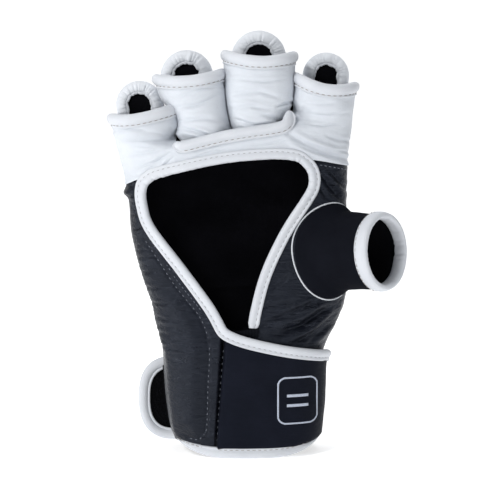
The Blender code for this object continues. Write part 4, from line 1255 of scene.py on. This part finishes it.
def make_thumb():
    count, rows = 120, 60
    a, seam = thumb_seam(count, THUMB_SEAM_HALF)
    start = (seam - THUMB_BASE) @ THUMB_DIRECTION
    mouth = THUMB_RING_RADIUS - 1.5
    lines = []
    for v in np.linspace(0, 1, rows):
        along = start + (THUMB_END - 4.0 - start) * v
        flare = 1 - smooth(v / 0.3)
        mix = smooth(v / 0.9)
        wide = (THUMB_SEAM_HALF[0] - 3.2) * (1 - mix) + mouth * mix + 3.2 * flare
        tall = 21.4 * (1 - mix) + (mouth + 0.3) * mix + (THUMB_SEAM_HALF[1] - 21.4) * flare
        place = THUMB_BASE + along[:, None] * THUMB_DIRECTION
        place = place + np.outer(seam_sway(a) * (1 - smooth(v / 0.6)), THUMB_ACROSS)
        across = THUMB_ACROSS * (1 - mix) + MOUTH_ACROSS * mix
        upward = THUMB_UP * (1 - mix) + MOUTH_UP * mix
        lines.append(place + np.outer(np.cos(a) * wide, across) + np.outer(np.sin(a) * tall, upward))
    points = np.array(lines).reshape(-1, 3)
    faces = quads(rows, count, ring=True)
    centre = THUMB_BASE + THUMB_DIRECTION * 15
    if np.sum(face_normals(points, faces) * (points[faces].mean(axis=1) - centre)) < 0:
        faces = faces[:, ::-1]
    height = 0.4 * fractal(points, 16.0, 71) + 0.06 * fractal(points, 3.0, 72)
    v = np.repeat(np.linspace(0, 1, rows), count)
    height -= 0.9 * bump(v / 0.03)
    points = displaced(points, faces, height)
    item = leather_piece("thumb_sleeve_skin", points, faces, 1.8, [NEOPRENE, KNIT])
    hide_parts("thumb_sleeve")
    bend_thumb(item)

    ring_middle = THUMB_END - 3.5
    turns = np.linspace(0, math.tau, 240, endpoint=False)
    middle_radius = (THUMB_RING_RADIUS + THUMB_RING_HOLE) / 2
    sides = np.linspace(0, math.tau, 22, endpoint=False)
    pleats = gathers(turns * middle_radius, 2.3, 8.8)
    wobble = 1 + 0.012 * np.array([noise.noise((math.cos(t) * 2, math.sin(t) * 2, 5.5)) for t in turns])
    grid = []
    for turn, pleat, sway in zip(turns, pleats, wobble):
        out = MOUTH_ACROSS * math.cos(turn) + MOUTH_UP * math.sin(turn)
        ring = []
        for side in sides:
            thick, long = 2.15 * math.cos(side), 3.9 * math.sin(side)
            thick = math.copysign(abs(thick / 2.15) ** 0.75, thick) * 2.15
            if math.cos(side) < 0.2:
                thick -= pleat * (0.42 if math.sin(side) > 0 else 0.16) * (0.2 - math.cos(side))
            ring.append(THUMB_BASE + THUMB_DIRECTION * ring_middle + MOUTH * long
                        + out * (middle_radius + thick) * sway)
        grid.append(ring)
    item = tube("thumb_ring_band", np.array(grid), [ROLLED], closed=True)
    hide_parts("thumb_binding")
    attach(item, "thumb")
    closed = np.linspace(0, math.tau, 220)
    out = np.outer(np.cos(closed), MOUTH_ACROSS) + np.outer(np.sin(closed), MOUTH_UP)
    line = THUMB_BASE + THUMB_DIRECTION * ring_middle - MOUTH * 2.3 + out * (THUMB_RING_RADIUS - 0.12)
    item = stitches("thumb_ring_stitches", line, out, STITCH_SHADOW_THREAD, radius=0.16)
    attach(item, "thumb")

    a, line = thumb_seam(240, (THUMB_SEAM_HALF[0] + 0.3, THUMB_SEAM_HALF[1] + 0.3), 0.1)
    fine = np.array([(0.42 * math.cos(v), 0.42 * math.sin(v)) for v in np.linspace(0, math.tau, 9)[:-1]])
    out = np.outer(np.cos(a), THUMB_ACROSS) + np.outer(np.sin(a), THUMB_UP)
    profile = fine[None] * np.ones((len(line), 1, 1))
    item = tube("thumb_piping", swept(line, out, profile, closed=True), [ROLLED], closed=True)
    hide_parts("thumb_seam_piping")
    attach(item, "hand")


def bend_thumb(item):
    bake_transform(item)


# ---------------------------------------------------------------- strap and hem
SEAM_LINE = ((-17.0, 4.0), (-16.0, 20.0), (-14.7, 38.0), (-12.9, 60.0), (-12.4, 68.0))
SEAM_X = reader([(z, x) for x, z in SEAM_LINE])


def strap_low(t):
    return 5.0 + 3.8 * hem_rise(t)


def make_strap():
    """The strap's leather from the front seam round to the tail, split at the thumb edge."""
    rows = 60
    t = BAND_T[BAND_FOOT:]
    high = BAND_Z[BAND_FOOT:]
    v = np.linspace(0, 1, rows)[:, None]
    z = strap_low(t) + (high - strap_low(t)) * v
    seam_t = palm_angle(SEAM_X(z[:, 0]), z[:, 0])[:, None]
    start = t[0]
    join = smooth((t - start) / 40.0)
    tt = t + (seam_t - start) * (1 - join)
    points = sleeve(tt, z, -STRAP_LIFT).reshape(-1, 3)
    faces = quads(*z.shape)
    x, y, zz = points.T
    height = 0.30 * fractal(points, 20.0, 81) + 0.10 * grain_folds(points, (1.2, 1, 1), 82)
    column = np.broadcast_to(np.arange(len(t)), z.shape).reshape(-1)
    ragged = 0.8 * np.array([noise.noise((v_ / 3.0, 2.2, 9.1)) for v_ in zz])
    height -= 3.4 * (1 - smooth((column * LINE_STEP + 0.3 + ragged) / 2.2))
    height += crease(x, zz, ((2, 52), (10, 40), (20, 26)), 6.0, 0.5, 0.2) * (y < 0)
    height -= 0.9 * bump((zz - strap_low(np.broadcast_to(t, z.shape).reshape(-1))) / 0.9)
    points = displaced(points, faces, height)
    normals = point_normals(points, faces)
    split = np.broadcast_to(np.arange(len(t)), z.shape)[:-1, :-1].reshape(-1) >= BAND_EDGE - BAND_FOOT
    for name, keep, node, body in (
        ("strap_front_skin", ~split, "strap_front_panel", "strap_front"),
        ("strap_wrap_skin", split, "strap_wrap_panel", "strap_wrap"),
    ):
        item = leather_piece(name, points, faces, 2.2, [STRAP], keep=keep, normals=normals)
        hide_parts(node)
        join_strap(item, body)
    line, normals = palm_line([(x - 1.2, z) for x, z in SEAM_LINE[:4]], lift=-1.2)
    seam = stitches("strap_seam_stitches", line, normals, GREY_THREAD, pitch=3.4, length=1.2, radius=0.18)
    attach(seam, "hand")


HEM_PROFILE = np.array((
    (-3.3, 0.3), (-3.0, 1.2), (-2.0, 1.8), (-0.6, 2.0), (0.6, 1.7), (1.3, 1.1), (1.7, 0.9), (2.2, 1.15),
    (2.9, 1.15), (3.3, 0.6), (3.3, -0.6), (2.4, -1.6), (0.8, -1.9), (-1.0, -1.9), (-2.4, -1.6),
    (-3.2, -0.8),
))


def hem_line(t, lift):
    low = 0.25 + HEM_RISE * hem_rise(t)
    high = 5.9 + 3.8 * hem_rise(t)
    taper = 1 - 0.8 * bump((np.asarray(t) % 360 - 184.0) / 11.0)
    return sleeve(t, (low + high) / 2, -lift), sleeve_normal(t, (low + high) / 2), taper * (high - low) / 6.6


def make_hem():
    t = np.arange(0, 360, 1.0)
    seam = float(palm_angle(-17.5, 4.0))
    near = np.abs((t - seam + 180) % 360 - 180)
    lift = -0.4 + 1.6 * bump(near / 18.0)
    line, normals, scale = hem_line(t, lift)
    profile = HEM_PROFILE[None] * np.stack([scale, np.minimum(0.9, scale)], axis=-1)[:, None]
    item = tube("cuff_hem_band", swept(line, normals, profile, closed=True), [ROLLED], closed=True)
    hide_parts("cuff_hem_binding")
    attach(item, "hand")
    line, normals, scale = hem_line(np.arange(205.0, seam, 1.0), 0.5)
    item = stitches("cuff_hem_stitches", offset_line(line, normals, 1.7, 0.75), normals, STITCH_SHADOW_THREAD,
                    radius=0.2)
    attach(item, "hand")
    for name, node, start, end, body in (
        ("strap_front_hem_band", "strap_front_hem_binding", seam, THUMB_EDGE_T, "strap_front"),
        ("strap_wrap_hem_band", "strap_wrap_hem_binding", THUMB_EDGE_T, TAIL_T - 1.0, "strap_wrap"),
    ):
        t = np.linspace(start, end, int(end - start) * 2)
        line, normals, scale = hem_line(t, STRAP_LIFT - 1.35 - 0.5 * bump((t - seam) / 5.0))
        profile = HEM_PROFILE[None] * np.stack([scale, np.minimum(0.9, scale)], axis=-1)[:, None]
        item = tube(name, swept(line, normals, profile), [ROLLED])
        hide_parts(node)
        join_strap(item, body)
        item = stitches(name + "_stitches", offset_line(line, normals, 1.7, 0.86), normals, STITCH_SHADOW_THREAD,
                        radius=0.2)
        join_strap(item, body)


TAIL_LONG, TAIL_HALF, TAIL_MID_Z = 20.6, 23.2, 24.4


def tail_curve(inset, count=90):
    """The tail's rounded outline in x and z, from its top root round its end to its bottom root."""
    root = joint_place("tail_peel")[0] - 0.4
    a = np.radians(np.linspace(88, -88, count))
    long, tall = TAIL_LONG - inset, TAIL_HALF - inset
    x = root - long * np.abs(np.cos(a)) ** 0.75
    z = TAIL_MID_Z + tall * np.sign(np.sin(a)) * np.abs(np.sin(a)) ** 0.75
    return np.stack([x, z], axis=1)


def make_tail():
    root = joint_place("tail_peel")
    y = root[1] - 1.35
    flat = curve(tail_curve(2.6), 0.8)
    flat = np.concatenate([[(root[0] + 3.0, flat[0][1])], flat, [(root[0] + 3.0, flat[-1][1])]])
    line = np.stack([flat[:, 0], np.full(len(flat), y), flat[:, 1]], axis=1)
    normals = np.broadcast_to((0.0, -1.0, 0.0), line.shape)
    sides = np.linspace(0, math.tau, 20, endpoint=False)
    profile = np.stack([2.75 * np.cos(sides), 2.3 * np.sin(sides)], axis=1)
    item = tube("strap_tail_band", swept(line, normals, profile), [ROLLED])
    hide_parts("strap_tail_binding")
    join_strap(item, "strap_tail")
    flat = curve(tail_curve(5.6), 0.8)
    line = np.stack([flat[:, 0], np.full(len(flat), y - 1.0), flat[:, 1]], axis=1)
    normals = np.broadcast_to((0.0, -1.0, 0.0), line.shape)
    profile = np.stack([0.7 * np.cos(sides), 0.5 * np.sin(sides)], axis=1)
    item = tube("strap_tail_inner_strip", swept(line, normals, profile), [ROLLED])
    join_strap(item, "strap_tail")
    for name, node, inset, depth, thick, look, slot in (
        ("strap_tail_skin", "strap_tail_panel", 4.0, y + 1.3, 1.8, STRAP, "black_leather"),
        ("hook_tape", "hook_patch", 5.2, y - 0.6, 1.0, HOOKS, "hook_tape"),
    ):
        outline = tail_curve(inset, 61)
        v = np.linspace(0, 1, 22)[:, None, None]
        edge = np.array([[root[0] + 4.0, z] for _, z in outline])
        grid = edge * (1 - v) + outline * v
        points = np.stack([grid[..., 0], np.full(grid.shape[:2], depth), grid[..., 1]], axis=-1)
        points[..., 1] += 0.3 * fractal(points, 9.0, 91)
        faces = quads(*grid.shape[:2])
        points = points.reshape(-1, 3)
        if face_normals(points, faces)[:, 1].sum() > 0:
            faces = faces[:, ::-1]
        item = leather_piece(name, points, faces, thick, [look])
        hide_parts(node)
        join_strap(item, "strap_tail")


def strap_line(points, lift):
    flat = np.array(points)
    t = palm_angle(flat[:, 0], flat[:, 1])
    return sleeve(t, flat[:, 1], -lift), sleeve_normal(t, flat[:, 1])


def make_mark():
    """A plain printed badge: a rounded frame round two bars."""
    middle_x, middle_z, half_x, half_z, corner = 23.0, 30.8, 9.6, 12.2, 4.0
    points = []
    for quarter, (cx, cz) in enumerate(((1, 1), (-1, 1), (-1, -1), (1, -1))):
        for step in np.linspace(0, 90, 10):
            a = math.radians(quarter * 90 + step)
            points.append((middle_x + cx * (half_x - corner) + corner * math.cos(a),
                           middle_z + cz * (half_z - corner) + corner * math.sin(a)))
    ribbon = np.array(((-0.42, -0.3), (0.42, -0.3), (0.42, 0.28), (-0.42, 0.28)))
    line, normals = strap_line(curve(points, 0.6, closed=True), STRAP_LIFT)
    item = tube("badge_frame", swept(line, normals, ribbon, closed=True), [PRINT], closed=True)
    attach(item, "strap_front")
    for name, z, half in (("badge_bar_upper", 33.4, 5.2), ("badge_bar_lower", 28.2, 5.2)):
        x = np.linspace(middle_x - half, middle_x + half, 20)
        line, normals = strap_line(np.stack([x, np.full(20, z)], axis=1), STRAP_LIFT)
        item = tube(name, swept(line, normals, ribbon * (1.7, 1.0)), [PRINT])
        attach(item, "strap_front")


# ---------------------------------------------------------------- assembly
make_band()
make_white_palm()
make_inner_sleeve("ring", (
    (((-14, 20), (0, 18.5), (14, 20.5)), 1.3, 0.5), (((-13, 12), (2, 11), (13, 8)), 1.5, 0.5),
    (((-12, 7), (-2, 3.5), (10, -2)), 1.4, 0.8), (((-10, 25), (4, 26), (14, 24)), 1.0, 0.3),
))
make_inner_sleeve("middle", (
    (((9, 14), (13, 16.2), (16.5, 16.8)), 1.0, 0.65), (((-12, 20), (0, 22), (10, 19)), 1.5, 0.45),
    (((-12, 7), (-2, 4), (8, 5)), 1.3, 0.6), (((-14, 12), (-4, 14), (6, 12.5)), 1.4, 0.4),
    (((2, 10), (9, 8), (15, 5)), 1.3, 0.6), (((-12, 28), (2, 27), (12, 29)), 1.0, 0.3),
))
for finger_name in FINGERS:
    make_loop_band(finger_name)
    make_pad(finger_name)
make_bar()
make_pinky_panel()
make_thumb_panel()
make_gusset()
make_lining()
make_back()
make_knuckles()
make_gap_sheets()
make_thumb()
make_strap()
make_hem()
make_tail()
make_mark()
frame["nodes"]["loop_patch"].data.materials.clear()
frame["nodes"]["loop_patch"].data.materials.append(LOOPS)


# ---------------------------------------------------------------- studio
def make_stage():
    """A pale floor that curves up into a backdrop."""
    made, tree, shader, place = nodes_of("backdrop_paper")
    grain = texture(tree, "ShaderNodeTexNoise", place, 30, Detail=2.0)
    tree.links.new(ramp(tree, grain.outputs["Fac"], (0.3, (0.88, 0.885, 0.89)), (0.7, (0.90, 0.902, 0.905))),
                   shader.inputs["Base Color"])
    shader.inputs["Roughness"].default_value = 0.9
    shader.inputs["Specular IOR Level"].default_value = 0.1
    shader.inputs["Emission Color"].default_value = (1, 1, 1, 1)
    shader.inputs["Emission Strength"].default_value = 0.60
    start, radius = 1.9, 0.8
    profile = [(-3.5, 0.0), (start, 0.0)]
    profile += [(start + radius * math.sin(a), radius * (1 - math.cos(a)))
                for a in np.linspace(0.1, math.pi / 2, 16)]
    profile.append((start + radius, 4.0))
    points = [(x, y, z) for y, z in profile for x in (-4.0, 4.0)]
    faces = [(2 * i, 2 * i + 1, 2 * i + 3, 2 * i + 2) for i in range(len(profile) - 1)]
    mesh = bpy.data.meshes.new("backdrop")
    mesh.from_pydata(points, [], faces)
    mesh.shade_smooth()
    mesh.materials.append(made)
    item = bpy.data.objects.new("backdrop", mesh)
    bpy.context.scene.collection.objects.link(item)


def area_light(name, place, target, size, energy, colour=(1, 1, 1)):
    data = bpy.data.lights.new(name, "AREA")
    data.shape, data.size, data.energy, data.color = "DISK", size, energy, colour
    item = bpy.data.objects.new(name, data)
    item.location = place
    item.rotation_euler = (Vector(target) - Vector(place)).to_track_quat("-Z", "Y").to_euler()
    bpy.context.scene.collection.objects.link(item)


def make_studio():
    make_stage()
    world = bpy.data.worlds.new("studio")
    world.use_nodes = True
    world.node_tree.nodes["Background"].inputs["Color"].default_value = (0.93, 0.96, 1.0, 1)
    world.node_tree.nodes["Background"].inputs["Strength"].default_value = 0.24
    bpy.context.scene.world = world
    aim = (0, 0, 0.11)
    area_light("key", (-0.75, -1.0, 1.0), aim, 0.35, 10.5)
    area_light("side", (-1.2, -0.55, 0.1), aim, 0.3, 3.9)
    area_light("fill", (0.9, -1.2, 0.25), aim, 0.7, 1.0, (0.95, 0.97, 1.0))
    area_light("top", (0.1, 0.1, 1.3), aim, 0.8, 4.5)
    elevation, distance = math.radians(5.0), 0.9
    target = Vector(point((0.0, 0.0, 108.31)))
    camera = bpy.data.objects.new("camera", bpy.data.cameras.new("camera"))
    camera.location = target + Vector((0, -math.cos(elevation), math.sin(elevation))) * distance
    camera.rotation_euler = (target - camera.location).to_track_quat("-Z", "Y").to_euler()
    camera.data.angle = math.radians(16.95)
    bpy.context.scene.collection.objects.link(camera)
    bpy.context.scene.camera = camera
    bpy.context.scene.view_settings.view_transform = "Standard"


make_studio()
